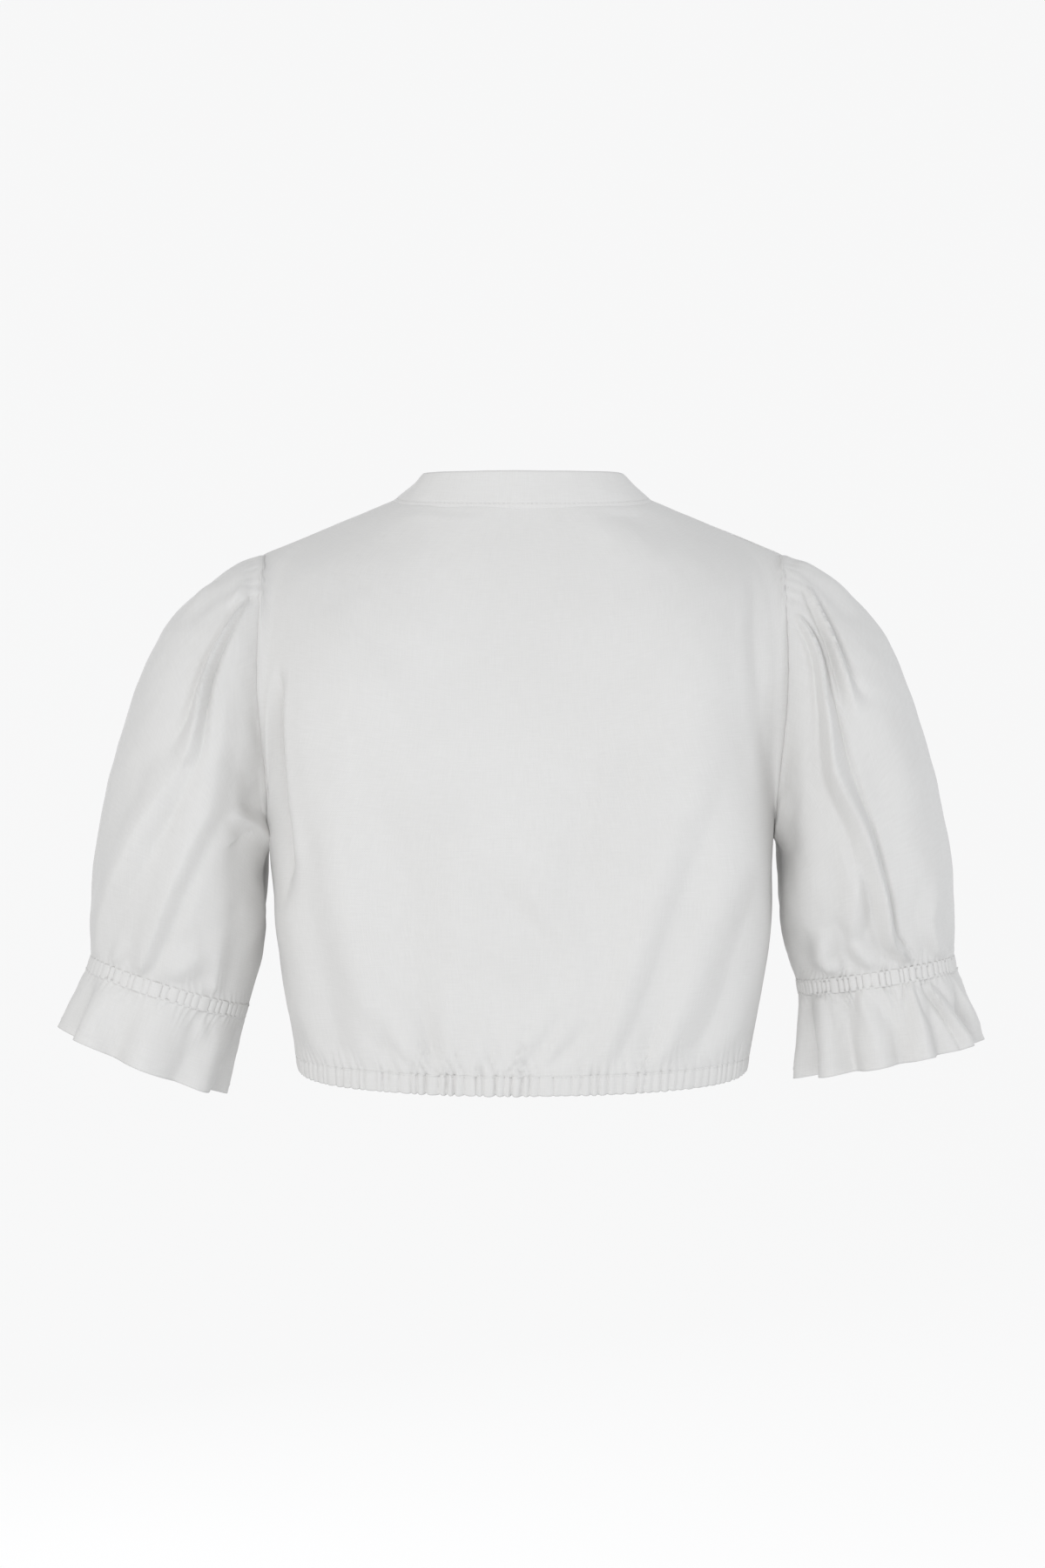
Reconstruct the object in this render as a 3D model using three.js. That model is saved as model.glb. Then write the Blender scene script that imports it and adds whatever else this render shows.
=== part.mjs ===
// A cropped dirndl blouse as it sits on its wearer, hollow and open at the neck, hem and sleeve ends.
// Millimetres. +Z is up, -Y is the wearer's front and +X is the wearer's left.
// The origin lies midway between the two points where the shoulder seams meet the neck band.
// Every cloth piece is a wall: an outer surface worked out from sections, and an inner one set in by CLOTH.
import * as THREE from "three";

// The cloth and its joins
const CLOTH = 1.2;
const SEAM_GAP = 0.3;
const HALF_GAP = SEAM_GAP / 2;

// The bodice, half of it, from the centre line out
const NECK_POINT = { x: 84, y: 8, z: 0 };
const SHOULDER_TIP = { x: 170, y: 0, z: -35 };
const UNDERARM = { x: 163.5, y: 0, z: -219 };
const SIDE_HEM = { x: 148, y: 0, z: -362 };
const SIDE_BLOUSING = 3.5;
const ARMHOLE_HALF_DEPTH = 50;
const NECKLINE_POINT = { y: -117, z: -150 };
const NECKLINE_CURVE = 1.7;

// How finely the sections are cut
const SIDE_ROWS = 5;
const ARMHOLE_ROWS = 10;
const SHOULDER_ROWS = 3;
const BACK_COLUMNS = 26;
const FRONT_COLUMNS = 12;

// The hem casing, the neck band, the button band and its buttons
const CASING_HEIGHT = 13;
const CASING_TUCK = 1.5;
const HEM_GATHERS = 76;
const HEM_GATHER_HEIGHT = 1.5;
const BAND_BACK_HEIGHT = 24;
const BAND_FRONT_HEIGHT = 12;
const PLACKET_HALF_WIDTH = 11;
const PLACKET_SHARES = [-1, -0.4, 0.4, 1];
const BUTTON = { radius: 5.5, thickness: 2.4, rim: 1.2, dish: 0.6, count: 5, top: -168, step: 44.5 };

// The sleeves
const SLEEVE_ROWS = 10;
const CAP_COLUMNS = 28;
const CAP_HALF_ANGLE = 42;
const UNDER_COLUMNS = 20;
const CAP_GATHERS = 8;
const CAP_GATHER_HEIGHT = 1.7;
const ELASTIC_HEIGHT = 10;
const ELASTIC_GATHER_HEIGHT = 1.3;
const POINTS_PER_GATHER = 3;
const FRILL_ROWS = 4;
const FRILL_COLUMNS = 64;

// Rows of the back, counted up its edge: 0 to 1 side seam, 1 to 2 armhole, 2 to 3 shoulder seam.
// centreY and centreZ lie on the centre back. heading and rise are the way in from the edge, and full rounds
// the section out.
const BACK_ROWS = [
  { at: 0.0, centreY: 93, centreZ: -368, heading: 90, rise: 0.0, full: 0.66 },
  { at: 0.35, centreY: 99, centreZ: -318, heading: 90, rise: 0.0, full: 0.75 },
  { at: 1.0, centreY: 102.5, centreZ: -224, heading: 90, rise: 0.0, full: 0.83 },
  { at: 1.25, centreY: 102.5, centreZ: -188, heading: 68, rise: 0.02, full: 0.67 },
  { at: 1.5, centreY: 100, centreZ: -146, heading: 48, rise: 0.02, full: 0.57 },
  { at: 1.75, centreY: 94, centreZ: -102, heading: 50, rise: -0.1, full: 0.56 },
  { at: 2.0, centreY: 83, centreZ: -62, heading: 64, rise: -0.3, full: 0.56 },
  { at: 2.5, centreY: 72, centreZ: -34, heading: 74, rise: -0.34, full: 0.58 },
  { at: 3.0, centreY: 62, centreZ: -9, heading: 86, rise: -0.2, full: 0.6 },
];

// Rows of a front. inner runs up its other edge: 0 to 1 centre front, 1 to 2 neckline.
const FRONT_ROWS = [
  { at: 0.0, inner: 0.0, heading: 90, rise: 0.0, innerTurn: 0.0, innerRise: 0.0, full: 0.62 },
  { at: 0.5, inner: 0.33, heading: 90, rise: 0.0, innerTurn: 0.0, innerRise: 0.0, full: 0.64 },
  { at: 1.0, inner: 0.65, heading: 88, rise: 0.0, innerTurn: 0.0, innerRise: 0.0, full: 0.67 },
  { at: 1.2, inner: 0.84, heading: 70, rise: 0.0, innerTurn: 0.0, innerRise: 0.0, full: 0.64 },
  { at: 1.4, inner: 1.0, heading: 52, rise: 0.0, innerTurn: 0.0, innerRise: 0.0, full: 0.6 },
  { at: 1.6, inner: 1.35, heading: 36, rise: 0.03, innerTurn: 4, innerRise: 0.02, full: 0.6 },
  { at: 1.8, inner: 1.72, heading: 20, rise: 0.15, innerTurn: 8, innerRise: -0.12, full: 0.6 },
  { at: 2.0, inner: 2.0, heading: -5.3, rise: 0.405, innerTurn: -5.3, innerRise: -0.405, full: 0.6 },
];

// The centre front below the neckline point: 0 at the casing, 1 at the neckline.
const CENTRE_FRONT = [
  { at: 0.0, y: -98, z: -367 },
  { at: 0.25, y: -113, z: -316 },
  { at: 0.5, y: -125, z: -264 },
  { at: 0.65, y: -128, z: -232 },
  { at: 0.85, y: -124, z: -186 },
  { at: 1.0, y: NECKLINE_POINT.y, z: NECKLINE_POINT.z },
];

// How the neck band stands: 0 centre back, 1 neck point, 2 neckline point. x leans it inwards.
const BAND_LEAN = [
  { at: 0.0, x: 0.0, y: -0.12, z: 0.99, height: BAND_BACK_HEIGHT },
  { at: 0.6, x: -0.34, y: -0.2, z: 0.9, height: BAND_BACK_HEIGHT },
  { at: 1.0, x: -0.76, y: -0.06, z: 0.65, height: BAND_BACK_HEIGHT - 1 },
  { at: 1.3, x: -0.86, y: 0.1, z: 0.5, height: 19 },
  { at: 1.6, x: -0.87, y: 0.12, z: 0.48, height: 14 },
  { at: 1.86, x: -0.872, y: 0.06, z: 0.489, height: BAND_FRONT_HEIGHT },
  { at: 2.0, x: -0.872, y: 0.03, z: 0.489, height: BAND_FRONT_HEIGHT },
];

// Sections of a sleeve from armhole to elastic: its outer and inner edge seen from behind, half its depth,
// and how far back its middle lies.
const SLEEVE_SECTIONS = [
  { at: 0.0, outerX: 170, outerZ: -35, innerX: 163.5, innerZ: -219, depth: 50, centreY: 0 },
  { at: 0.08, outerX: 185, outerZ: -41, innerX: 167.5, innerZ: -224, depth: 60, centreY: 0 },
  { at: 0.2, outerX: 209, outerZ: -58, innerX: 170, innerZ: -230, depth: 69, centreY: -1 },
  { at: 0.32, outerX: 229, outerZ: -77, innerX: 171, innerZ: -238, depth: 74, centreY: -2 },
  { at: 0.44, outerX: 246, outerZ: -107, innerX: 171, innerZ: -247, depth: 77, centreY: -3 },
  { at: 0.56, outerX: 260, outerZ: -146, innerX: 170, innerZ: -258, depth: 77, centreY: -4 },
  { at: 0.68, outerX: 272, outerZ: -190, innerX: 169, innerZ: -270, depth: 75, centreY: -5 },
  { at: 0.8, outerX: 280.5, outerZ: -235, innerX: 169.5, innerZ: -286, depth: 70, centreY: -6 },
  { at: 0.91, outerX: 283, outerZ: -273, innerX: 173, innerZ: -305, depth: 61, centreY: -7 },
  { at: 1.0, outerX: 282.5, outerZ: -297, innerX: 180, innerZ: -327, depth: 51, centreY: -8 },
];

// The two sleeves hang alike but for their ends: the elastic's inner edge and its gathers, and the frill's
// hem and its waves.
const SLEEVES = [
  {
    name: "left", side: 1, innerX: 180.5, innerZ: -329, gathers: 24,
    hemOuterX: 300.5, hemOuterZ: -345, hemInnerX: 199, hemInnerZ: -387, hemDepth: 56,
    waves: 8, waveHeight: 4.5, wavePhase: 20,
  },
  {
    name: "right", side: -1, innerX: 180.5, innerZ: -313, gathers: 34,
    hemOuterX: 298, hemOuterZ: -353, hemInnerX: 184, hemInnerZ: -376, hemDepth: 60,
    waves: 11, waveHeight: 6, wavePhase: 0,
  },
];

// The largest folds, as points down each one seen from behind. width is the distance to the fold's turning
// point, and a depth below 0 sinks.
const BACK_FOLDS = [
  [
    { x: 151, z: -112, width: 7, depth: 0 },
    { x: 149, z: -160, width: 7, depth: -5 },
    { x: 148, z: -205, width: 7, depth: -5 },
    { x: 146, z: -245, width: 8, depth: 0 },
  ],
  [
    { x: 112, z: -130, width: 15, depth: 0 },
    { x: 92, z: -220, width: 16, depth: -3 },
    { x: 70, z: -290, width: 15, depth: -3.5 },
    { x: 52, z: -362, width: 11, depth: -2.5 },
  ],
  [
    { x: 30, z: -232, width: 10, depth: 0 },
    { x: -8, z: -272, width: 11, depth: -2 },
    { x: -24, z: -330, width: 11, depth: 0 },
  ],
  [
    { x: -70, z: -160, width: 15, depth: 0 },
    { x: -52, z: -240, width: 16, depth: -2.6 },
    { x: -48, z: -300, width: 14, depth: 0 },
  ],
  [
    { x: -132, z: -190, width: 14, depth: 0 },
    { x: -108, z: -280, width: 15, depth: -3 },
    { x: -84, z: -362, width: 11, depth: -2.5 },
  ],
  [
    { x: -151, z: -185, width: 7, depth: 0 },
    { x: -152, z: -222, width: 8, depth: -3 },
    { x: -149, z: -262, width: 9, depth: 0 },
  ],
];

const FRONT_FOLDS = [
  [
    { x: 140, z: -120, width: 9, depth: 0 },
    { x: 132, z: -165, width: 9, depth: -3.5 },
    { x: 118, z: -205, width: 9, depth: 0 },
  ],
  [
    { x: 96, z: -262, width: 11, depth: 0 },
    { x: 88, z: -318, width: 11, depth: -3.2 },
    { x: 82, z: -364, width: 9, depth: -2.2 },
  ],
  [
    { x: 58, z: -268, width: 10, depth: 0 },
    { x: 54, z: -326, width: 10, depth: -2.6 },
    { x: 50, z: -364, width: 8, depth: -2 },
  ],
];

// facing is 1 on the back of the sleeve and -1 on its front.
const SLEEVE_FOLDS = {
  left: [
    { facing: 1, line: [
      { x: 175, z: -66, width: 4.5, depth: 0 },
      { x: 195, z: -114, width: 5.5, depth: -6 },
      { x: 206, z: -152, width: 6, depth: -6.5 },
      { x: 224, z: -202, width: 8, depth: -5 },
      { x: 248, z: -243, width: 8, depth: -4 },
      { x: 270, z: -282, width: 6, depth: 0 },
    ] },
    { facing: 1, line: [
      { x: 190, z: -200, width: 7, depth: 0 },
      { x: 222, z: -245, width: 7, depth: -4 },
      { x: 236, z: -282, width: 6, depth: -3.5 },
      { x: 247, z: -300, width: 5, depth: 0 },
    ] },
    { facing: -1, line: [
      { x: 176, z: -70, width: 5, depth: 0 },
      { x: 200, z: -125, width: 7, depth: -6 },
      { x: 220, z: -200, width: 8, depth: -5 },
      { x: 236, z: -280, width: 6, depth: 0 },
    ] },
  ],
  right: [
    { facing: 1, line: [
      { x: 183, z: -66, width: 4.5, depth: 0 },
      { x: 199, z: -108, width: 5.5, depth: -5 },
      { x: 212, z: -137, width: 6, depth: 0 },
    ] },
    { facing: 1, line: [
      { x: 176, z: -82, width: 4.5, depth: 0 },
      { x: 192, z: -130, width: 6, depth: -5 },
      { x: 206, z: -178, width: 8, depth: -7.5 },
      { x: 222, z: -225, width: 7.5, depth: -6 },
      { x: 233, z: -270, width: 6, depth: -4.5 },
      { x: 246, z: -297, width: 5, depth: 0 },
    ] },
    { facing: 1, line: [
      { x: 211, z: -226, width: 6, depth: 0 },
      { x: 212, z: -262, width: 6.5, depth: -4 },
      { x: 219, z: -298, width: 5, depth: 0 },
    ] },
    { facing: -1, line: [
      { x: 176, z: -70, width: 5, depth: 0 },
      { x: 202, z: -130, width: 7, depth: -6 },
      { x: 226, z: -210, width: 8, depth: -5 },
      { x: 240, z: -285, width: 6, depth: 0 },
    ] },
  ],
};

const vector = (p) => new THREE.Vector3(p.x, p.y, p.z);
const radians = THREE.MathUtils.degToRad;
const mix = (a, b, share) => a + (b - a) * share;
const range = (count) => Array.from({ length: count + 1 }, (_, i) => i / count);

// Every column of a table at one station, on a smooth curve through its rows.
function read(table, at) {
  let i = 0;
  while (i < table.length - 2 && at > table[i + 1].at) i += 1;
  const start = table[i];
  const end = table[i + 1];
  const before = table[Math.max(i - 1, 0)];
  const after = table[Math.min(i + 2, table.length - 1)];
  const span = end.at - start.at;
  const t = (at - start.at) / span;
  const found = {};
  for (const key of Object.keys(start)) {
    const leave = ((end[key] - before[key]) / (end.at - before.at)) * span;
    const arrive = ((after[key] - start[key]) / (after.at - start.at)) * span;
    found[key] =
      (2 * t ** 3 - 3 * t ** 2 + 1) * start[key] +
      (t ** 3 - 2 * t ** 2 + t) * leave +
      (3 * t ** 2 - 2 * t ** 3) * end[key] +
      (t ** 3 - t ** 2) * arrive;
  }
  return found;
}

// How far a fold moves the cloth at a point seen from behind: a trough between two low lips, or the
// reverse.
function foldHeight(line, x, z) {
  let nearest = Infinity;
  let height = 0;
  for (let i = 0; i + 1 < line.length; i += 1) {
    const [a, b] = [line[i], line[i + 1]];
    const [dx, dz] = [b.x - a.x, b.z - a.z];
    const share = THREE.MathUtils.clamp(((x - a.x) * dx + (z - a.z) * dz) / (dx * dx + dz * dz), 0, 1);
    const away = Math.hypot(x - mix(a.x, b.x, share), z - mix(a.z, b.z, share));
    if (away < nearest) {
      nearest = away;
      const reach = (away / mix(a.width, b.width, share)) ** 2;
      height = mix(a.depth, b.depth, share) * (1 - reach / 2) * Math.exp(-reach / 2);
    }
  }
  return height;
}

// A closed wall from an outer grid of points, rows of columns, and the way out at each of them.
// A ring's columns run all the way round; a panel's end at two more edges.
function wallGeometry(points, outward, ring) {
  const rows = points.length;
  const columns = points[0].length;
  const positions = [];
  const inner = rows * columns;
  points.flat().forEach((p) => positions.push(p.x, p.y, p.z));
  points.forEach((row, i) => row.forEach((p, j) => {
    const q = p.clone().addScaledVector(outward[i][j], -CLOTH);
    positions.push(q.x, q.y, q.z);
  }));
  const faces = [];
  const quad = (a, b, c, d) => faces.push(a, b, c, a, c, d);
  const at = (i, j) => i * columns + (j % columns);
  const steps = ring ? columns : columns - 1;
  for (let j = 0; j < steps; j += 1) {
    for (let i = 0; i + 1 < rows; i += 1) {
      quad(at(i, j), at(i, j + 1), at(i + 1, j + 1), at(i + 1, j));
      quad(inner + at(i, j), inner + at(i + 1, j), inner + at(i + 1, j + 1), inner + at(i, j + 1));
    }
    const top = rows - 1;
    quad(at(0, j), inner + at(0, j), inner + at(0, j + 1), at(0, j + 1));
    quad(at(top, j), at(top, j + 1), inner + at(top, j + 1), inner + at(top, j));
  }
  for (let i = 0; !ring && i + 1 < rows; i += 1) {
    const end = columns - 1;
    quad(at(i, 0), at(i + 1, 0), inner + at(i + 1, 0), inner + at(i, 0));
    quad(at(i, end), inner + at(i, end), inner + at(i + 1, end), at(i + 1, end));
  }
  const geometry = new THREE.BufferGeometry();
  geometry.setAttribute("position", new THREE.Float32BufferAttribute(positions, 3));
  geometry.setIndex(faces);
  geometry.computeVertexNormals();
  return geometry;
}

// The way out of a surface at a station: across its row and its column, measured over a short step.
function outwardAt(surface, row, column, ends) {
  const step = 1e-3;
  const rowStart = Math.max(row - step, ends.rowLow);
  const rowEnd = Math.min(row + step, ends.rowHigh);
  const columnStart = ends.ring ? column - step : Math.max(column - step, ends.columnLow);
  const columnEnd = ends.ring ? column + step : Math.min(column + step, ends.columnHigh);
  const up = surface(rowEnd, column).sub(surface(rowStart, column));
  const across = surface(row, columnEnd).sub(surface(row, columnStart));
  return across.cross(up).normalize();
}

// A wall from a surface function of a row and a column station.
function clothWall(surface, rowStations, columnStations, ring, seamOutward = () => null) {
  const ends = {
    ring,
    rowLow: rowStations[0],
    rowHigh: rowStations.at(-1),
    columnLow: columnStations[0],
    columnHigh: columnStations.at(-1),
  };
  const points = rowStations.map((row) => columnStations.map((column) => surface(row, column)));
  const outward = rowStations.map((row) =>
    columnStations.map((column) => seamOutward(row, column) ?? outwardAt(surface, row, column, ends)));
  return wallGeometry(points, outward, ring);
}

// The edge of a half bodice from hem to neck. facing is 1 on the back of the armhole and -1 on its front.
function edgePoint(at, facing) {
  if (at <= 1) {
    const blousing = SIDE_BLOUSING * Math.sin(Math.PI * at);
    return new THREE.Vector3(
      mix(SIDE_HEM.x, UNDERARM.x, at) + blousing, 0, mix(SIDE_HEM.z, UNDERARM.z, at));
  }
  if (at <= 2) {
    const angle = radians(-90 + 180 * (at - 1));
    const rise = (1 + Math.sin(angle)) / 2;
    return new THREE.Vector3(
      mix(UNDERARM.x, SHOULDER_TIP.x, rise),
      facing * ARMHOLE_HALF_DEPTH * Math.cos(angle),
      mix(UNDERARM.z, SHOULDER_TIP.z, rise));
  }
  return vector(SHOULDER_TIP).lerp(vector(NECK_POINT), at - 2);
}

// The other edge of a front: up the centre front, then along the neckline to the neck point.
function frontInnerPoint(at) {
  if (at <= 1) {
    const { y, z } = read(CENTRE_FRONT, at);
    return new THREE.Vector3(0, y, z);
  }
  const share = at - 1;
  return new THREE.Vector3(
    NECK_POINT.x * share,
    mix(NECKLINE_POINT.y, NECK_POINT.y, share ** NECKLINE_CURVE),
    mix(NECKLINE_POINT.z, NECK_POINT.z, share));
}

// A cubic from the centre (share 0) to the edge (share 1) that leaves both ends in the ways given.
function sectionPoint(centre, centreWay, edge, edgeWay, full, share) {
  const gap = edge.clone().sub(centre);
  const handle = (way) => full * (Math.abs(gap.x * way.x) + Math.abs(gap.y * way.y)) / way.length();
  const first = centre.clone().addScaledVector(centreWay, handle(centreWay) / centreWay.length());
  const second = edge.clone().addScaledVector(edgeWay, handle(edgeWay) / edgeWay.length());
  return new THREE.CubicBezierCurve3(centre, first, second, edge).getPoint(share);
}

function wayIn(heading, rise, facing) {
  return new THREE.Vector3(-Math.cos(radians(heading)), facing * Math.sin(radians(heading)), rise);
}

// The back: row is a station of its edge, column runs from -1 at the right edge to 1 at the left one.
function backPoint(row, column) {
  const section = read(BACK_ROWS, row);
  const share = Math.abs(column);
  const centre = new THREE.Vector3(0, section.centreY, section.centreZ);
  const inward = wayIn(section.heading, section.rise, 1);
  const point = sectionPoint(
    centre, new THREE.Vector3(1, 0, 0), edgePoint(row, 1), inward, section.full, share);
  if (column < 0) point.x = -point.x;
  return point;
}

// A front, on the wearer's left (side 1) or right (side -1): column runs from 0 at its inner edge to 1.
function frontPoint(side, row, column) {
  const section = read(FRONT_ROWS, row);
  const outward = new THREE.Vector3(
    Math.cos(radians(section.innerTurn)), Math.sin(radians(section.innerTurn)), section.innerRise);
  const inward = wayIn(section.heading, section.rise, -1);
  const point = sectionPoint(
    frontInnerPoint(section.inner), outward, edgePoint(row, -1), inward, section.full, column);
  point.x *= side;
  return point;
}

// A bodice surface with its folds pressed in. They fade out near the seams, so that the edges stay joined.
function folded(surface, folds, side, edgeFade, ends) {
  return (row, column) => {
    const point = surface(row, column);
    const fade = edgeFade(row, column);
    if (fade <= 0) return point;
    const height = folds.reduce((sum, line) => sum + foldHeight(line, side * point.x, point.z), 0);
    return point.addScaledVector(outwardAt(surface, row, column, ends), height * fade);
  };
}

const smooth = (value) => THREE.MathUtils.smoothstep(value, 0, 1);

// The seam's own way out, the same for the two pieces that it joins.
function shoulderOutward(side) {
  const along = vector(NECK_POINT).sub(vector(SHOULDER_TIP)).normalize();
  const up = new THREE.Vector3(0, 0, 1);
  const out = up.addScaledVector(along, -up.dot(along)).normalize();
  out.x *= side;
  return out;
}

function sideOutward(side) {
  return new THREE.Vector3(side, 0, 0);
}

// Stations up the edge of a piece, a little inside both of its ends.
const EDGE_STATIONS = [
  ...range(SIDE_ROWS),
  ...range(ARMHOLE_ROWS).slice(1).map((s) => 1 + s),
  ...range(SHOULDER_ROWS).slice(1).map((s) => 2 + s),
];
const FRONT_STATIONS = EDGE_STATIONS.filter((s) => s <= 2);
const BACK_INSET = HALF_GAP / 200;
const FRONT_INSET = HALF_GAP / 100;
const TOP_INSET = HALF_GAP / 90;

function makeBack() {
  const limit = 1 - BACK_INSET;
  const columns = range(BACK_COLUMNS).map((s) => limit * (2 * s - 1));
  const ends = { ring: false, rowLow: 0, rowHigh: 3, columnLow: -1, columnHigh: 1 };
  const mirrored = (row, column) => backPoint(row, -column);
  const fade = (row, column) => smooth((1 - Math.abs(column)) / 0.12) * smooth((3 - row) / 0.4);
  const surface = folded(mirrored, BACK_FOLDS, 1, fade, ends);
  const seam = (row, column) => {
    if (Math.abs(column) < limit) return null;
    const side = -Math.sign(column);
    if (row <= 1) return sideOutward(side);
    return row >= 2 ? shoulderOutward(side) : null;
  };
  return clothWall(surface, EDGE_STATIONS, columns, false, seam);
}

function makeFront(side) {
  const columns = range(FRONT_COLUMNS).map((s) => mix(FRONT_INSET, 1 - FRONT_INSET, s));
  const ordered = side > 0 ? columns : columns.map((c) => -c).reverse();
  const [columnLow, columnHigh] = side > 0 ? [0, 1] : [-1, 0];
  const ends = { ring: false, rowLow: 0, rowHigh: 2, columnLow, columnHigh };
  const plain = (row, column) => frontPoint(side, row, Math.abs(column));
  const fade = (row, column) => {
    const share = Math.abs(column);
    return smooth((1 - share) / 0.2) * smooth((share - 0.12) / 0.15) * smooth((2 - row) / 0.3);
  };
  const surface = folded(plain, FRONT_FOLDS, side, fade, ends);
  const top = 2 - TOP_INSET;
  const rows = FRONT_STATIONS.map((s) => Math.min(s, top));
  const seam = (row, column) => {
    if (row >= top) return shoulderOutward(side);
    return row <= 1 && Math.abs(column) >= 1 - FRONT_INSET ? sideOutward(side) : null;
  };
  return clothWall(surface, rows, ordered, false, seam);
}

// The neck band stands on the back neckline and lies along both sides of the front one.
function bandBase(at, side) {
  const point = at <= 1 ? backPoint(3, at) : frontInnerPoint(3 - at);
  point.x *= side;
  return point;
}

function bandPoint(height, at) {
  const side = Math.sign(at) || 1;
  const reach = Math.abs(at);
  const lean = read(BAND_LEAN, reach);
  const way = new THREE.Vector3(side * lean.x, lean.y, lean.z).normalize();
  const point = bandBase(reach, side).addScaledVector(way, mix(SEAM_GAP, lean.height, height));
  const meeting = HALF_GAP + 0.4 * (2 - reach) * height;
  if (side * point.x < meeting) {
    const over = meeting - side * point.x;
    point.x = side * meeting;
    point.z -= 0.16 * over * height;
  }
  return point;
}

function makeNeckBand() {
  const backStations = range(BACK_COLUMNS / 2);
  const frontStations = FRONT_STATIONS
    .map((s) => read(FRONT_ROWS, s).inner)
    .filter((inner) => inner >= 1 && inner < 2)
    .map((inner) => 3 - inner)
    .reverse();
  const half = [...backStations, ...frontStations, 1.9, 1.95].sort((a, b) => a - b);
  const stations = [...half.slice(1).map((s) => -s).reverse(), ...half];
  return clothWall((height, at) => bandPoint(height, -at), [0, 0.5, 1], stations, false);
}

// The casing round the hem, gathered by the elastic inside it.
function hemSection() {
  const quarter = range(160);
  const left = quarter.map((s) => frontPoint(1, 0, s));
  const back = quarter.map((s) => backPoint(0, 1 - s)).slice(1);
  const half = [...left, ...back];
  const other = half.slice(1, -1).map((p) => new THREE.Vector3(-p.x, p.y, p.z)).reverse();
  const curve = new THREE.CatmullRomCurve3([...half, ...other], true);
  curve.arcLengthDivisions = 2000;
  return curve;
}

function levelOutward(section, around) {
  const tangent = section.getTangentAt(around);
  return new THREE.Vector3(tangent.y, -tangent.x, 0).normalize();
}

function makeHemCasing() {
  const section = hemSection();
  const columns = range(HEM_GATHERS * POINTS_PER_GATHER).slice(0, -1);
  const surface = (height, around) => {
    const gather = HEM_GATHER_HEIGHT * Math.sin(2 * Math.PI * HEM_GATHERS * around);
    const point = section.getPointAt(around);
    point.addScaledVector(levelOutward(section, around), gather - CASING_TUCK * (1 - height));
    point.z -= mix(CASING_HEIGHT, SEAM_GAP, height);
    return point;
  };
  return clothWall(surface, [0, 1], columns, true, (height, around) => levelOutward(section, around));
}

// A strip that lies on both fronts over their meeting edges, from the casing to the neckline.
function placketPoint(row, column) {
  const share = PLACKET_HALF_WIDTH / (3 * read(FRONT_ROWS, row).full * edgePoint(row, -1).x);
  const side = Math.sign(column);
  const point = frontPoint(side, row, Math.abs(column) * share);
  const ends = { ring: false, rowLow: 0, rowHigh: 2, columnLow: 0, columnHigh: 1 };
  const out = outwardAt((r, c) => frontPoint(1, r, c), row, Math.abs(column) * share, ends);
  out.x *= side;
  return point.addScaledVector(out, SEAM_GAP + CLOTH);
}

function placketOutward(row, column) {
  const ends = { ring: false, rowLow: 0, rowHigh: 2, columnLow: -1, columnHigh: 1 };
  return outwardAt(placketPoint, row, column || 0.1, ends);
}

const NECKLINE_ROW = FRONT_ROWS.find((row) => row.inner === 1).at;

function makePlacket() {
  const rows = [...FRONT_STATIONS.filter((s) => s < NECKLINE_ROW - 0.05), NECKLINE_ROW - 0.01];
  return clothWall(placketPoint, rows, PLACKET_SHARES, false);
}

// The button's face looks along its own +Z before it is turned to the cloth.
function buttonGeometry() {
  const { radius, thickness, rim, dish } = BUTTON;
  const profile = [
    [0, 0], [radius - 0.6, 0], [radius, thickness * 0.4], [radius - 0.3, thickness],
    [radius - rim, thickness], [radius - rim - 0.8, thickness - dish], [0, thickness - dish],
  ].map(([x, y]) => new THREE.Vector2(x, y));
  return new THREE.LatheGeometry(profile, 12).rotateX(Math.PI / 2);
}

// The row of the placket whose centre lies at a height.
function rowAtHeight(z) {
  let [low, high] = [0, NECKLINE_ROW];
  for (let i = 0; i < 40; i += 1) {
    const middle = (low + high) / 2;
    if (placketPoint(middle, 0.01).z < z) low = middle;
    else high = middle;
  }
  return (low + high) / 2;
}

function placeButton(mesh, z) {
  const row = rowAtHeight(z);
  const out = placketOutward(row, 0.01).setX(0).normalize();
  const rest = SEAM_GAP + 0.25;
  mesh.position.copy(placketPoint(row, 0.01).setX(0).addScaledVector(out, rest));
  mesh.quaternion.setFromUnitVectors(new THREE.Vector3(0, 0, 1), out);
}

// A section of a sleeve: 0 degrees is its outer edge, 90 its back and 180 its inner edge.
function sleeveSection(sleeve, at) {
  const section = read(SLEEVE_SECTIONS, at);
  const last = SLEEVE_SECTIONS.at(-1);
  const ease = smooth((at - 0.4) / 0.6);
  section.innerX += ease * (sleeve.innerX - last.innerX);
  section.innerZ += ease * (sleeve.innerZ - last.innerZ);
  return section;
}

function ringPoint(sleeve, section, angle, swell = 0) {
  const [c, s] = [Math.cos(angle), Math.sin(angle)];
  const halfX = (section.outerX - section.innerX) / 2;
  const halfZ = (section.outerZ - section.innerZ) / 2;
  const half = Math.hypot(halfX, halfZ);
  const grow = (half + swell) / half;
  return new THREE.Vector3(
    sleeve.side * ((section.outerX + section.innerX) / 2 + halfX * grow * c),
    section.centreY + (section.depth + swell) * s,
    (section.outerZ + section.innerZ) / 2 + halfZ * grow * c);
}

// The gathers of the cap are highest just past the armhole seam and run out down the sleeve.
function capGather(at, degrees) {
  const side = Math.abs(degrees) / CAP_HALF_ANGLE;
  if (side >= 1) return 0;
  const wave = Math.cos((Math.PI * CAP_GATHERS * degrees) / CAP_HALF_ANGLE);
  return CAP_GATHER_HEIGHT * wave * smooth((1 - side) / 0.3) * smooth(at / 0.06) * smooth((0.4 - at) / 0.4);
}

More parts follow.
